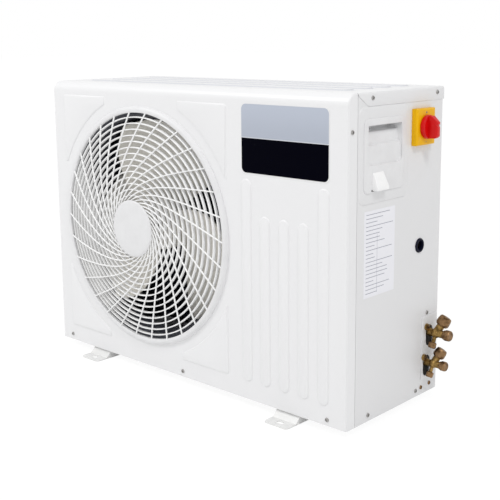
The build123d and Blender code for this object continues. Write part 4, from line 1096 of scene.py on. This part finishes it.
@dataclass
class Screws:
    """Pan-head screws with a cross recess, on front, side, top flange and valve plate."""

    head: float = 4.4 * MM
    height: float = 2.4 * MM
    slot: float = 1.5 * MM
    sunk: float = 0.3 * MM
    turn: float = 20.0
    flange_drop: float = 11.5 * MM
    flange_out: float = 1.2 * MM
    rib_rise: float = 2.5 * MM
    valves: tuple[Point, ...] = ((470 * MM, 122 * MM, 152 * MM), (470 * MM, 113.5 * MM, 87 * MM))
    ear: Point = (-13 * MM, -10 * MM, 12.5 * MM)

    def model(self) -> Piece:
        """One screw head about +Z, with its cross cut in.

        Returns:
            The head.
        """
        r, h = self.head, self.height
        profile = [(0.0, -self.sunk), (r, -self.sunk), (r, h * 0.35), (r * 0.93, h * 0.68),
                   (r * 0.72, h * 0.9), (r * 0.4, h), (0.0, h)]
        head = Bench.lathe("screw_pattern", [profile], 24, closed=False)
        for turn in (self.turn, self.turn + 90.0):
            bpy.ops.object.select_all(action="DESELECT")
            bpy.ops.mesh.primitive_cube_add(size=1.0)
            cutter = bpy.context.object
            shape = Matrix.Diagonal((r * 1.45, self.slot, h * 1.4, 1.0))
            turned = Matrix.Rotation(math.radians(turn), 4, "Z")
            Bench.settle(cutter, Matrix.Translation((0.0, 0.0, h * 0.95)) @ turned @ shape)
            Bench.combine(head, cutter, "DIFFERENCE")
        return head

    def places(self) -> dict[str, list[Matrix]]:
        """Finds where the heads sit, from the edges of the sheets that they hold.

        Returns:
            Placing matrices by the node that the heads stand for.
        """
        front, side = front_face(), side_face()
        low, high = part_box("right_side_panel")
        rear, under = high[1], low[2]
        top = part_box("top_cover")[1][2] - self.rib_rise
        flange, plate_top = top - self.flange_drop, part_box("valve_plate")[1][2]
        on_front = [(39 * MM - side, under + 14.5 * MM), (-6.5 * MM, under + 13 * MM),
                    (side - 46.5 * MM, under + 12.5 * MM)]
        on_side = [(0.0, front + 11 * MM, top - 71.5 * MM), (self.flange_out, front + 72 * MM, flange),
                   (self.flange_out, rear - 29 * MM, flange), (0.0, front + 71 * MM, under + 13 * MM),
                   (0.0, rear - 84.5 * MM, under + 13.5 * MM), (0.0, rear - 47 * MM, plate_top + 6 * MM)]
        on_plate = [(0.0, rear - 64 * MM, under + 15.5 * MM), (0.0, rear - 32 * MM, under + 17 * MM)]
        for valve in self.valves:
            x, y, z = (seat + step for seat, step in zip(valve, self.ear))
            on_plate.append((x - side, y, z))
        steel = [Matrix.Translation((x, front, z)) @ FACING_FRONT for x, z in on_front]
        steel += [Matrix.Translation((side + out, y, z)) @ FACING_RIGHT for out, y, z in on_side]
        brass = [Matrix.Translation((side + out, y, z)) @ FACING_RIGHT for out, y, z in on_plate]
        return {"panel_screws": steel, "valve_screws": brass}

    def build(self, finishes: Finishes) -> None:
        """Models one head and copies it to every place.

        Args:
            finishes: All finishes.
        """
        pattern = self.model()
        finish = {"panel_screws": "bare_steel", "valve_screws": "cap_brass"}
        for node, matrices in self.places().items():
            for number, matrix in enumerate(matrices):
                head = Bench.adopt(f"{node}_{number}", pattern.data.copy())
                Bench.settle(head, matrix)
                Bench.smooth(head, 30.0)
                Bench.keep(head, finish[node], finishes, node)
        bpy.data.objects.remove(pattern)


@dataclass
class EasedParts:
    """Parts whose shape is carried over, with their edges rounded as bent, cast or moulded ones are."""

    parts: tuple[tuple[str, str, float, int], ...] = (
        ("isolator_plate", "switch_yellow", 0.7 * MM, 3),
        ("conduit_grommet", "grommet_navy", 0.5 * MM, 2),
        ("valve_plate", "side_white", 0.4 * MM, 2),
        ("top_cover", "lid_white_painted_shade", 0.5 * MM, 2),
        ("suction_valve", "valve_brass", 0.8 * MM, 2),
        ("liquid_valve", "valve_brass", 0.8 * MM, 2),
    )

    def build(self, finishes: Finishes) -> None:
        """Copies each node, cleans the copy, rounds its edges and dresses it.

        Args:
            finishes: All finishes.
        """
        for node, finish, width, segments in self.parts:
            piece = Bench.adopt(f"eased_{node}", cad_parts[node].data.copy())
            Bench.mend(1e-5, 0.8)
            Bench.ease(piece, width, segments)
            Bench.keep(piece, finish, finishes, node)


@dataclass
class FootRails:
    """Bent sheet rails: raised middle, sloping ends, slotted floor tabs with round corners, closed sides."""

    sheet: float = 2.5 * MM
    bend: float = 1.5 * MM
    width: float = 62 * MM
    tab: float = 30 * MM
    slope: float = 16 * MM
    corner: float = 9 * MM
    slot_length: float = 18 * MM
    slot_width: float = 11 * MM
    slot_in: float = 18 * MM
    spare: float = 1 * MM
    cutter: float = 10 * MM

    def strip(self, end: float, top: float) -> list[tuple[float, float]]:
        """Section of the bent strip from tab to tab.

        Args:
            end: The tabs' reach from the middle.
            top: Height of the raised middle.

        Returns:
            Its outline.
        """
        t, foot = self.sheet, end - self.tab
        knee = foot - self.slope
        upper = [(-end, t), (-foot, t), (-knee, top), (knee, top), (foot, t), (end, t)]
        lower = [(end, 0.0), (foot + self.bend, 0.0), (knee + self.bend, top - t)]
        return upper + lower + [(-y, z) for y, z in reversed(lower)]

    def rail(self, name: str, centre: float, end: float, top: float) -> Piece:
        """One rail.

        Args:
            name: The piece's name.
            centre: Its place along x.
            end: The tabs' reach from the middle.
            top: Height of the raised middle.

        Returns:
            The finished rail.
        """
        half, t, foot = self.width / 2, self.sheet, end - self.tab
        rail = Bench.ridge(name, self.strip(end, top), centre - half, centre + half)
        knee = foot - self.slope
        wall = [(-foot, 0.0), (foot, 0.0), (knee, top - t / 2), (-knee, top - t / 2)]
        for side in (-1, 1):
            near, far = sorted((centre + side * (half - t), centre + side * half))
            Bench.combine(rail, Bench.ridge("wall", wall, near, far), "UNION")
        plan = Bench.slab("plan", self.width, end * 2, self.corner, -self.spare, top + self.spare,
                          (centre, 0.0))
        Bench.combine(rail, plan, "INTERSECT")
        for side in (-1, 1):
            slot = Bench.slab("slot", self.slot_length, self.slot_width, self.slot_width / 2 - 0.01 * MM,
                              -self.spare, self.cutter, (centre, side * (end - self.slot_in)))
            Bench.combine(rail, slot, "DIFFERENCE")
        Bench.smooth(rail, 30.0)
        return rail

    def build(self, finishes: Finishes) -> None:
        """Makes and dresses both rails.

        Args:
            finishes: All finishes.
        """
        for node in ("left_foot_rail", "right_foot_rail"):
            _, end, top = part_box(node)[1]
            Bench.keep(self.rail(f"bent_{node}", middle(node)[0], end, top), "foot_white", finishes, node)


@dataclass
class ValveCaps:
    """Turned brass caps on the service valves: faceted on the stem, plain on the line, small on the port.

    The profiles are shares of each cap's radius and length.
    """

    fit: float = 0.98
    stem: Profile = ((0.0, 0.0), (0.78, 0.0), (0.84, 0.05), (0.98, 0.16), (1.0, 0.30), (0.97, 0.62),
                     (0.90, 0.85), (0.79, 0.96), (0.60, 1.0), (0.0, 1.0))
    line: Profile = ((0.0, 0.0), (0.80, 0.0), (0.86, 0.05), (0.86, 0.22), (1.0, 0.28), (1.0, 0.78),
                     (0.94, 0.90), (0.82, 0.98), (0.60, 0.98), (0.56, 0.95), (0.0, 0.95))
    port: Profile = ((0.0, 0.0), (0.80, 0.0), (1.0, 0.12), (1.0, 0.74), (0.92, 0.90), (0.72, 1.0), (0.0, 1.0))

    @staticmethod
    def lie(node: str, valve: str) -> tuple[Vector, Vector, float, float]:
        """Finds a cap's foot, outward axis, length and radius from its corners.

        Args:
            node: The cap's node.
            valve: The valve that it is screwed to.

        Returns:
            Foot centre, axis, length and radius.
        """
        corners = np.array([tuple(corner.co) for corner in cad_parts[node].data.vertices])
        corners = np.unique(corners.round(6), axis=0)
        centre = corners.mean(0)
        spread, ways = np.linalg.eigh(np.cov((corners - centre).T))
        axis = ways[:, 2 if spread[2] - spread[1] > spread[1] - spread[0] else 0]
        axis = axis * np.sign(axis @ (centre - np.array(middle(valve))))
        along = (corners - centre) @ axis
        across = np.linalg.norm(corners - centre - np.outer(along, axis), axis=1)
        return Vector(centre + axis * along.min()), Vector(axis), float(np.ptp(along)), float(across.max())

    def build(self, finishes: Finishes) -> None:
        """Makes and dresses the six caps.

        Args:
            finishes: All finishes.
        """
        kinds = (("stem", self.stem, 12), ("line", self.line, 32), ("port", self.port, 8))
        for valve in ("suction", "liquid"):
            for kind, profile, sides in kinds:
                node = f"{valve}_{kind}_cap"
                foot, axis, length, radius = self.lie(node, f"{valve}_valve")
                outline = [(share * radius * self.fit, up * length) for share, up in profile]
                cap = Bench.lathe(f"turned_{node}", [outline], sides, closed=False)
                turn = axis.to_track_quat("Z", "Y").to_matrix().to_4x4()
                Bench.settle(cap, Matrix.Translation(foot) @ turn)
                Bench.smooth(cap, 28.0)
                Bench.keep(cap, "cap_brass", finishes, node)


@dataclass
class IsolatorHandle:
    """Red handle: round skirt with an upright grip bar, one corner cut away, and the marks on the plate.

    The marks' outlines are in millimetres.
    """

    skirt_radius: float = 24 * MM
    skirt_height: float = 9 * MM
    out: float = 28 * MM
    bar_length: float = 46 * MM
    bar_width: float = 15 * MM
    bar_taper: float = 2 * MM
    bar_sunk: float = 3 * MM
    cut: float = 13 * MM
    notch: float = 1.6 * MM
    foot_round: float = 5 * MM
    arrow: Profile = ((-2.6, -1.8), (2.6, -1.8), (0.4, 2.6), (-0.4, 2.6))
    arrow_drop: float = 8 * MM
    stroke: Profile = ((-1.7, -0.5), (1.7, -0.5), (1.7, 0.5), (-1.7, 0.5))
    stroke_up: float = 6.5 * MM
    ink: float = 0.12 * MM

    def __post_init__(self) -> None:
        """Finds the handle's axis."""
        _, self.y, self.z = middle("isolator_knob")
        self.place = Matrix.Translation((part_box("isolator_knob")[0][0], self.y, self.z)) @ FACING_RIGHT

    def skirt(self) -> Piece:
        """Round skirt with a rolled edge and a shallow crown.

        Returns:
            The skirt.
        """
        r, h = self.skirt_radius, self.skirt_height
        profile = [(0.0, 0.0), (r - 0.6 * MM, 0.0), (r, 0.8 * MM), (r, h - 2.6 * MM),
                   (r - 0.8 * MM, h - 1.0 * MM), (r - 2.2 * MM, h - 0.2 * MM), (r - 6 * MM, h), (0.0, h)]
        return Bench.lathe("handle_skirt", [profile], 64, closed=False)

    def bar(self) -> Piece:
        """Grip bar, narrower at its top, with one corner cut away and a finger notch.

        Returns:
            The bar.
        """
        half, out, base = self.bar_length / 2, self.out, self.skirt_height - self.bar_sunk
        shoulder, deep = half - self.cut, out - self.notch
        outline = [(-half, base), (-half * 0.96, out - self.foot_round), (-half + self.foot_round, out),
                   (shoulder - 9 * MM, out), (shoulder - 8 * MM, deep), (shoulder - 5 * MM, deep),
                   (shoulder - 4 * MM, out), (shoulder, out), (half * 0.97, out - self.cut), (half, base)]
        rings = [[(side * (self.bar_width / 2 - self.bar_taper * (depth - base) / (out - base)), up, depth)
                  for up, depth in outline] for side in (-1, 1)]
        bar = Bench.loft("handle_bar", rings)
        Bench.ease(bar, 1.0 * MM, 3)
        return bar

    def marks(self) -> list[Piece]:
        """Printed arrow over the handle and a short stroke below it.

        Returns:
            Both marks, in place.
        """
        low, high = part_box("isolator_plate")
        made = []
        for name, outline, up in (("isolator_arrow", self.arrow, high[2] - self.arrow_drop),
                                  ("isolator_stroke", self.stroke, low[2] + self.stroke_up)):
            mark = Bench.loft(name, [[(a * MM, b * MM, out) for a, b in outline] for out in (0.0, self.ink)])
            Bench.settle(mark, Matrix.Translation((high[0], self.y, up)) @ FACING_RIGHT)
            made.append(mark)
        return made

    def build(self, finishes: Finishes) -> None:
        """Makes the handle, which turns, and the marks, which don't.

        Args:
            finishes: All finishes.
        """
        for piece in (self.skirt(), self.bar()):
            Bench.settle(piece, self.place)
            Bench.smooth(piece, 30.0)
            Bench.keep(piece, "knob_red", finishes, "isolator_knob", body="isolator_handle")
        for mark in self.marks():
            Bench.keep(mark, "switch_grey", finishes)


@dataclass
class HandGrip:
    """Moulded hand grip: rounded face frame, coved scoop, finger slot under a lip, and the catch."""

    proud: float = 3 * MM
    pressed: float = 1.2 * MM
    corner: float = 13 * MM
    wall: float = 2 * MM
    floor: float = 1.5 * MM
    deep: float = 28.5 * MM
    pocket_width: float = 110 * MM
    pocket_shift: float = 2 * MM
    pocket_up: float = 59 * MM
    pocket_height: float = 77.5 * MM
    pocket_corner: float = 12 * MM
    step: float = 38.5 * MM
    shallow: float = 4 * MM
    cove: float = 5.5 * MM
    cove_run: float = 3.5 * MM
    cove_fall: float = 3 * MM
    slot: float = 10.5 * MM
    bend: float = 14 * MM
    lip: float = 8 * MM
    lip_in: float = 1.4 * MM
    undercut: float = 1.2 * MM
    catch_width: float = 33.5 * MM
    catch_height: float = 34 * MM
    catch_out: float = 13 * MM
    catch_shift: float = 21 * MM
    catch_drop: float = 32 * MM
    catch_root: float = 1.5 * MM
    catch_flare: float = 0.14

    def __post_init__(self) -> None:
        """Finds the grip's place, and how far its face stands out."""
        _, y, z = middle("handle_recess")
        self.place = Matrix.Translation((side_face(), y, z)) @ FACING_RIGHT
        self.top_face = self.pressed + self.proud

    def body(self) -> Piece:
        """Frame and tub with the scoop cut out of them.

        Returns:
            The moulding.
        """
        face, half, centre = self.top_face, self.pocket_width / 2, self.pocket_shift
        low, top = self.pocket_up - self.pocket_height, self.pocket_up
        up = (low + top) / 2
        _, width, height = size("handle_recess")
        body = Bench.slab("hand_grip", width, height, self.corner, self.pressed - 0.6 * MM, face)
        tub = Bench.slab("tub", self.pocket_width + 2 * self.wall, self.pocket_height + 2 * self.wall, 3 * MM,
                         -self.deep - self.floor, face - 1 * MM, (centre, up))
        ledge = face - self.shallow
        scoop = [(low, face + 1 * MM), (low, ledge), (low + self.step, ledge),
                 (low + self.step + self.cove_run, ledge - self.cove),
                 (top - self.bend, ledge - self.cove - self.cove_fall),
                 (top - self.slot, -self.deep), (top + self.undercut, -self.deep),
                 (top + self.undercut, face - self.lip), (top - self.lip_in, face - self.lip),
                 (top - self.lip_in, face + 1 * MM)]
        cavity = Bench.ridge("cavity", scoop, centre - half, centre + half)
        mouth = Bench.slab("mouth", self.pocket_width, self.pocket_height + 14 * MM, self.pocket_corner,
                           -self.deep * 2, 10 * MM, (centre, up + 7 * MM))
        Bench.combine(cavity, mouth, "INTERSECT")
        Bench.combine(body, tub, "UNION")
        Bench.combine(body, cavity, "DIFFERENCE")
        Bench.ease(body, 1.6 * MM, 3, 35.0)
        return body

    def catch(self) -> Piece:
        """Wedge-shaped catch with a rolled toe, wider at its foot.

        Returns:
            The catch.
        """
        face, out, root = self.top_face, self.top_face + self.catch_out, self.top_face - self.catch_root
        top, low = -self.catch_drop, -self.catch_drop - self.catch_height
        outline = [(top, root), (top, face + 0.6 * MM), (low + 6.5 * MM, out), (low + 1.5 * MM, out),
                   (low, out - 1.5 * MM), (low, root)]
        half, centre = self.catch_width / 2, -self.catch_shift
        piece = Bench.ridge("grip_catch", outline, centre - half, centre + half)
        for vertex in piece.data.vertices:
            share = (top - vertex.co.y) / self.catch_height
            vertex.co.x += (vertex.co.x - centre) * self.catch_flare * share
        Bench.ease(piece, 1.0 * MM, 3)
        return piece

    def notch_shade_blocks(self) -> Piece:
        """Black blocks at both ends of the catch's toe, as painted shade in the gaps there.

        Returns:
            Both blocks as one piece.
        """
        under, over = self.top_face - 1 * MM, self.top_face + 0.25 * MM
        toe = -self.catch_drop - self.catch_height
        low, high = toe - 1.4 * MM, toe + 1.8 * MM
        outline = [(low, under), (low, over), (high, over), (high, under)]
        half = self.catch_width / 2 * (1 + self.catch_flare)
        left, right = -self.catch_shift - half, -self.catch_shift + half
        # Painted shade: black blocks stand where the gaps by the catch's toe are in shade.
        shade_blocks = Bench.ridge("grip_notch_shade", outline, left - 2.5 * MM, left + 6 * MM)
        Bench.combine(shade_blocks, Bench.ridge("other_notch_shade", outline, right - 1 * MM, right + 8 * MM), "UNION")
        return shade_blocks

    def build(self, finishes: Finishes) -> None:
        """Makes, places and dresses the grip.

        Args:
            finishes: All finishes.
        """
        # The catch takes a brighter copy of the grip's white, as painted light; the notch blocks are black,
        # as painted shade.
        for piece, finish in ((self.body(), "grip_white"), (self.catch(), "catch_white_painted_light"),
                              (self.notch_shade_blocks(), "rubber_black")):
            Bench.settle(piece, self.place)
            Bench.smooth(piece, 30.0)
            Bench.keep(piece, finish, finishes, "handle_recess")


@dataclass
class Pressings:
    """Raised ribs and pads of the front sheet and the land of the side sheet, with rolled edges."""

    height: float = 2.1 * MM
    roll: float = 3.0 * MM
    rib_width: float = 25 * MM
    rib_pitch: float = 50 * MM
    rib_first: float = 193.5 * MM
    rib_low: float = 41 * MM
    rib_gap: float = 13 * MM
    rib_step: float = 72.5 * MM
    pad_left: float = 43 * MM
    pad_right: float = 268.5 * MM
    pad_top: float = 32.5 * MM
    pad_low: float = 42 * MM
    pad_gap: float = 25.5 * MM
    pad_across: float = 125 * MM
    pad_along: float = 130 * MM
    pad_corner: float = 6 * MM
    pad_least: float = 4 * MM
    pad_steps: int = 20
    land_width: float = 161 * MM
    land_height: float = 183 * MM
    land_drop: float = 28.5 * MM
    land_in: float = 3 * MM
    land_corner: float = 15 * MM
    hole_in: float = 5 * MM
    hole_corner: float = 10 * MM

    def __post_init__(self) -> None:
        """Finds the sheets' edges, the fan's centre and the section of a rolled edge."""
        self.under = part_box("base_pan")[0][2]
        self.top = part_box("front_panel")[1][2]
        self.plate_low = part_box("name_plate")[0][2]
        x, _, z = middle("fan_guard")
        self.fan = Vector((x, z))
        self.arc = size("fan_guard")[0] / 2 + self.pad_gap
        shares = ((0.45, 0.0), (0.22, 0.28), (0.0, 0.62), (-0.25, 0.88), (-0.55, 1.0))
        self.steps = [(self.roll * out, self.height * up) for out, up in shares]

    @staticmethod
    def moved(outline: Sequence[Vector], out: float) -> list[Vector]:
        """Moves an outline outwards at every point.

        Args:
            outline: Anticlockwise outline.
            out: How far it moves.

        Returns:
            The moved outline.
        """
        result = []
        for number, point in enumerate(outline):
            before = (point - outline[number - 1]).normalized()
            after = (outline[(number + 1) % len(outline)] - point).normalized()
            tangent = (before + after).normalized()
            normal = Vector((tangent.y, -tangent.x))
            result.append(point + normal * out / max(0.5, normal.dot(Vector((after.y, -after.x)))))
        return result

    def raised(self, name: str, outline: Sequence[Vector], hole: Profile = ()) -> Piece:
        """Lofts an outline into a raised form with a rolled edge.

        Args:
            name: The piece's name.
            outline: Anticlockwise outline at mid height.
            hole: Outline of a hole with as many points, if there is one.

        Returns:
            The piece, about the origin.
        """
        rings = [[(point.x, point.y, up) for point in self.moved(outline, out)] for out, up in self.steps]
        if hole:
            rings += [[(a, b, up) for a, b in hole] for up in (self.height, 0.0)]
        return Bench.loft(name, rings, closed=bool(hole))

    def ribs(self) -> list[Piece]:
        """Upright ribs: the outer two tall, the inner three short.

        Returns:
            The ribs, in place.
        """
        made = []
        for number, drop in enumerate((0.0, self.rib_step, self.rib_step, self.rib_step, 0.0)):
            low, top = self.under + self.rib_low, self.plate_low - self.rib_gap - drop
            outline = Bench.rounded(self.rib_width, top - low, self.rib_width / 2, 10)
            rib = self.raised(f"front_rib_{number}", [Vector(point) for point in outline])
            place = (self.rib_first + self.rib_pitch * number, front_face(), (low + top) / 2)
            Bench.settle(rib, Matrix.Translation(place) @ FACING_FRONT)
            made.append(rib)
        return made

    def pad_outline(self, out: float, up: float) -> list[Vector]:
        """Outline of the pad at the fan's upper right, clockwise.

        Args:
            out: Reach from the fan's centre to the right.
            up: Reach from the fan's centre upwards.

        Returns:
            The points, about the fan's centre.
        """
        start, end = math.asin(self.pad_along / self.arc), math.acos(self.pad_across / self.arc)
        turns = [start + (end - start) * step / self.pad_steps for step in range(self.pad_steps + 1)]
        curve = [Vector((math.cos(turn), math.sin(turn))) * self.arc for turn in turns]
        curve = [point for point in curve if point.x < out - 1 * MM and point.y < up - 1 * MM]
        corner = Vector((out - self.pad_corner, up - self.pad_corner))
        turns = [math.radians(degrees) for degrees in range(0, 91, 15)]
        bend = [corner + Vector((math.sin(turn), math.cos(turn))) * self.pad_corner for turn in turns]
        foot = [Vector((out, self.pad_along))] if curve[0].x < out - self.pad_least else []
        return curve + [Vector((self.pad_across, up))] + bend + foot

    def pads(self) -> list[Piece]:
        """Four corner pads that follow the guard.

        Returns:
            The pads, in place.
        """
        made = []
        low, high = self.fan.y - self.under - self.pad_low, self.top - self.pad_top - self.fan.y
        for side, out in ((-1, side_face() - self.pad_left + self.fan.x), (1, self.pad_right)):
            for rise, up in ((-1, low), (1, high)):
                outline = [Vector((point.x * side, point.y * rise)) for point in self.pad_outline(out, up)]
                if side == rise:
                    outline.reverse()
                pad = self.raised(f"front_pad_{'r' if side > 0 else 'l'}{'t' if rise > 0 else 'b'}", outline)
                Bench.settle(pad, Matrix.Translation((self.fan.x, front_face(), self.fan.y)) @ FACING_FRONT)
                made.append(pad)
        return made

    def land(self) -> Piece:
        """Raised land round the hand grip.

        Returns:
            The land, in place.
        """
        _, y, z = middle("handle_recess")
        _, wide, high = size("handle_recess")
        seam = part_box("right_side_panel")[0][1]
        centre = Vector((seam + self.land_in + self.land_width / 2 - y,
                         self.top - self.land_drop - self.land_height / 2 - z))
        outer = Bench.rounded(self.land_width, self.land_height, self.land_corner, 10)
        hole = Bench.rounded(wide - self.hole_in, high - self.hole_in, self.hole_corner, 10)
        land = self.raised("side_land", [Vector(point) + centre for point in outer], hole)
        Bench.settle(land, Matrix.Translation((side_face(), y, z)) @ FACING_RIGHT)
        return land

    def build(self, finishes: Finishes) -> None:
        """Makes and dresses every raised form.

        Args:
            finishes: All finishes.
        """
        pieces = [(piece, "casing_white") for piece in self.ribs() + self.pads()]
        for piece, finish in pieces + [(self.land(), "side_white")]:
            Bench.smooth(piece, 50.0)
            Bench.keep(piece, finish, finishes)


# ---------------------------------------------------------------- studio
@dataclass
class Studio:
    """Plain pale floor, soft lamps and the camera. Lengths are in metres, powers in watts."""

    lens: float = 67.64
    sensor: float = 36.0
    shift_y: float = -0.10
    place: Point = (1.4759, -1.5377, 0.7729)
    azimuth: float = 42.79
    elevation: float = 9.924
    roll: float = -0.508
    reach: float = 200.0
    floor_size: float = 60.0
    floor_grey: float = 0.96
    floor_glow: float = 1.05
    floor_share: float = 0.88
    sky_power: float = 0.70
    lamps: tuple[tuple[str, Point, Point, float, float], ...] = (
        ("key", (-1.9, -2.1, 2.9), (0.0, 0.0, 0.35), 0.5, 38.0),
        ("fill", (2.0, -0.9, 2.7), (0.3, 0.0, 0.35), 0.4, 22.0),
    )

    def camera(self) -> None:
        """Sets up the camera."""
        data = bpy.data.cameras.new("camera")
        data.lens = self.lens
        data.sensor_width = self.sensor
        data.shift_y = self.shift_y
        data.clip_end = self.reach
        camera = bpy.data.objects.new("camera", data)
        bpy.context.collection.objects.link(camera)
        azimuth, elevation, roll = (math.radians(a) for a in (self.azimuth, self.elevation, self.roll))
        back = Vector((math.sin(azimuth) * math.cos(elevation), -math.cos(azimuth) * math.cos(elevation),
                       math.sin(elevation)))
        right = Vector((math.cos(azimuth), math.sin(azimuth), 0.0))
        up = back.cross(right)
        right, up = right * math.cos(roll) + up * math.sin(roll), up * math.cos(roll) - right * math.sin(roll)
        turn = Matrix((right, up, back)).transposed().to_4x4()
        camera.matrix_world = Matrix.Translation(self.place) @ turn
        bpy.context.scene.camera = camera

    def floor(self) -> None:
        """Lays the floor: white to the camera, plain and pale to everything else."""
        bpy.ops.object.select_all(action="DESELECT")
        bpy.ops.mesh.primitive_plane_add(size=self.floor_size)
        plane = bpy.context.object
        plane.name = "floor"
        paint = Paint("floor")
        paint.set(Base_Color=(self.floor_grey,) * 3, Roughness=0.8, Specular_IOR_Level=0.1)
        glow = paint.node("ShaderNodeEmission", None, {"Color": (1.0, 1.0, 1.0), "Strength": self.floor_glow})
        share = self.seen(paint) * self.floor_share
        mixed = paint.node("ShaderNodeMixShader", None, {0: share, 1: paint.shader.outputs[0], 2: glow})
        paint.tree.links.new(mixed.value, paint.output.inputs[0])
        plane.data.materials.append(paint.material)

    @staticmethod
    def seen(paint: Paint) -> Sock:
        """1 for the camera, for reflections and for glass, otherwise 0.

        Args:
            paint: The material that is built.

        Returns:
            The mask.
        """
        camera, glossy, glass = (paint.node("ShaderNodeLightPath", output=f"Is {ray} Ray")
                                 for ray in ("Camera", "Glossy", "Transmission"))
        return (camera + glossy + glass).at_most(1.0)

    @staticmethod
    def lamp(name: str, place: Point, aim: Point, side: float, power: float) -> None:
        """Adds a soft square lamp.

        Args:
            name: Its name.
            place: Where it hangs.
            aim: The point that it looks at.
            side: Length of its side.
            power: Its power.
        """
        data = bpy.data.lights.new(name, "AREA")
        data.shape = "SQUARE"
        data.size = side
        data.energy = power
        lamp = bpy.data.objects.new(name, data)
        bpy.context.collection.objects.link(lamp)
        lamp.location = place
        lamp.rotation_euler = (Vector(place) - Vector(aim)).to_track_quat("Z", "Y").to_euler()

    def sky(self) -> None:
        """Lights the world: white to the camera, to reflections and to glass, and dimmer on the object."""
        world = bpy.data.worlds.new("studio")
        bpy.context.scene.world = world
        world.use_nodes = True
        nodes, link = world.node_tree.nodes, world.node_tree.links.new
        sky, backdrop = nodes["Background"], nodes.new("ShaderNodeBackground")
        for background, power in ((sky, self.sky_power), (backdrop, 1.0)):
            background.inputs[0].default_value = (1.0, 1.0, 1.0, 1.0)
            background.inputs[1].default_value = power
        path = nodes.new("ShaderNodeLightPath")
        seen = path.outputs["Is Camera Ray"]
        for ray in ("Is Glossy Ray", "Is Transmission Ray"):
            adder = nodes.new("ShaderNodeMath")
            adder.operation = "ADD"
            adder.use_clamp = True
            link(seen, adder.inputs[0])
            link(path.outputs[ray], adder.inputs[1])
            seen = adder.outputs[0]
        mix = nodes.new("ShaderNodeMixShader")
        for number, output in enumerate((seen, sky.outputs[0], backdrop.outputs[0])):
            link(output, mix.inputs[number])
        link(mix.outputs[0], nodes["World Output"].inputs[0])

    def build(self) -> None:
        """Builds the whole studio."""
        self.camera()
        self.floor()
        self.sky()
        for lamp in self.lamps:
            self.lamp(*lamp)
        bpy.context.scene.view_settings.view_transform = "Standard"


def main() -> None:
    """Builds the studio and every sub-assembly."""
    logging.basicConfig(level=logging.INFO, format="%(name)s: %(message)s")
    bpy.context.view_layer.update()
    Studio().build()
    finishes = Finishes()
    finishes.dress_frame()
    assemblies = (Pressings(), FanGuard(), HandGrip(), IsolatorHandle(), Screws(), EasedParts(), FootRails(),
                  ValveCaps())
    for assembly in assemblies:
        LOG.info("building %s", type(assembly).__name__)
        assembly.build(finishes)


if __name__ == "__main__":
    main()
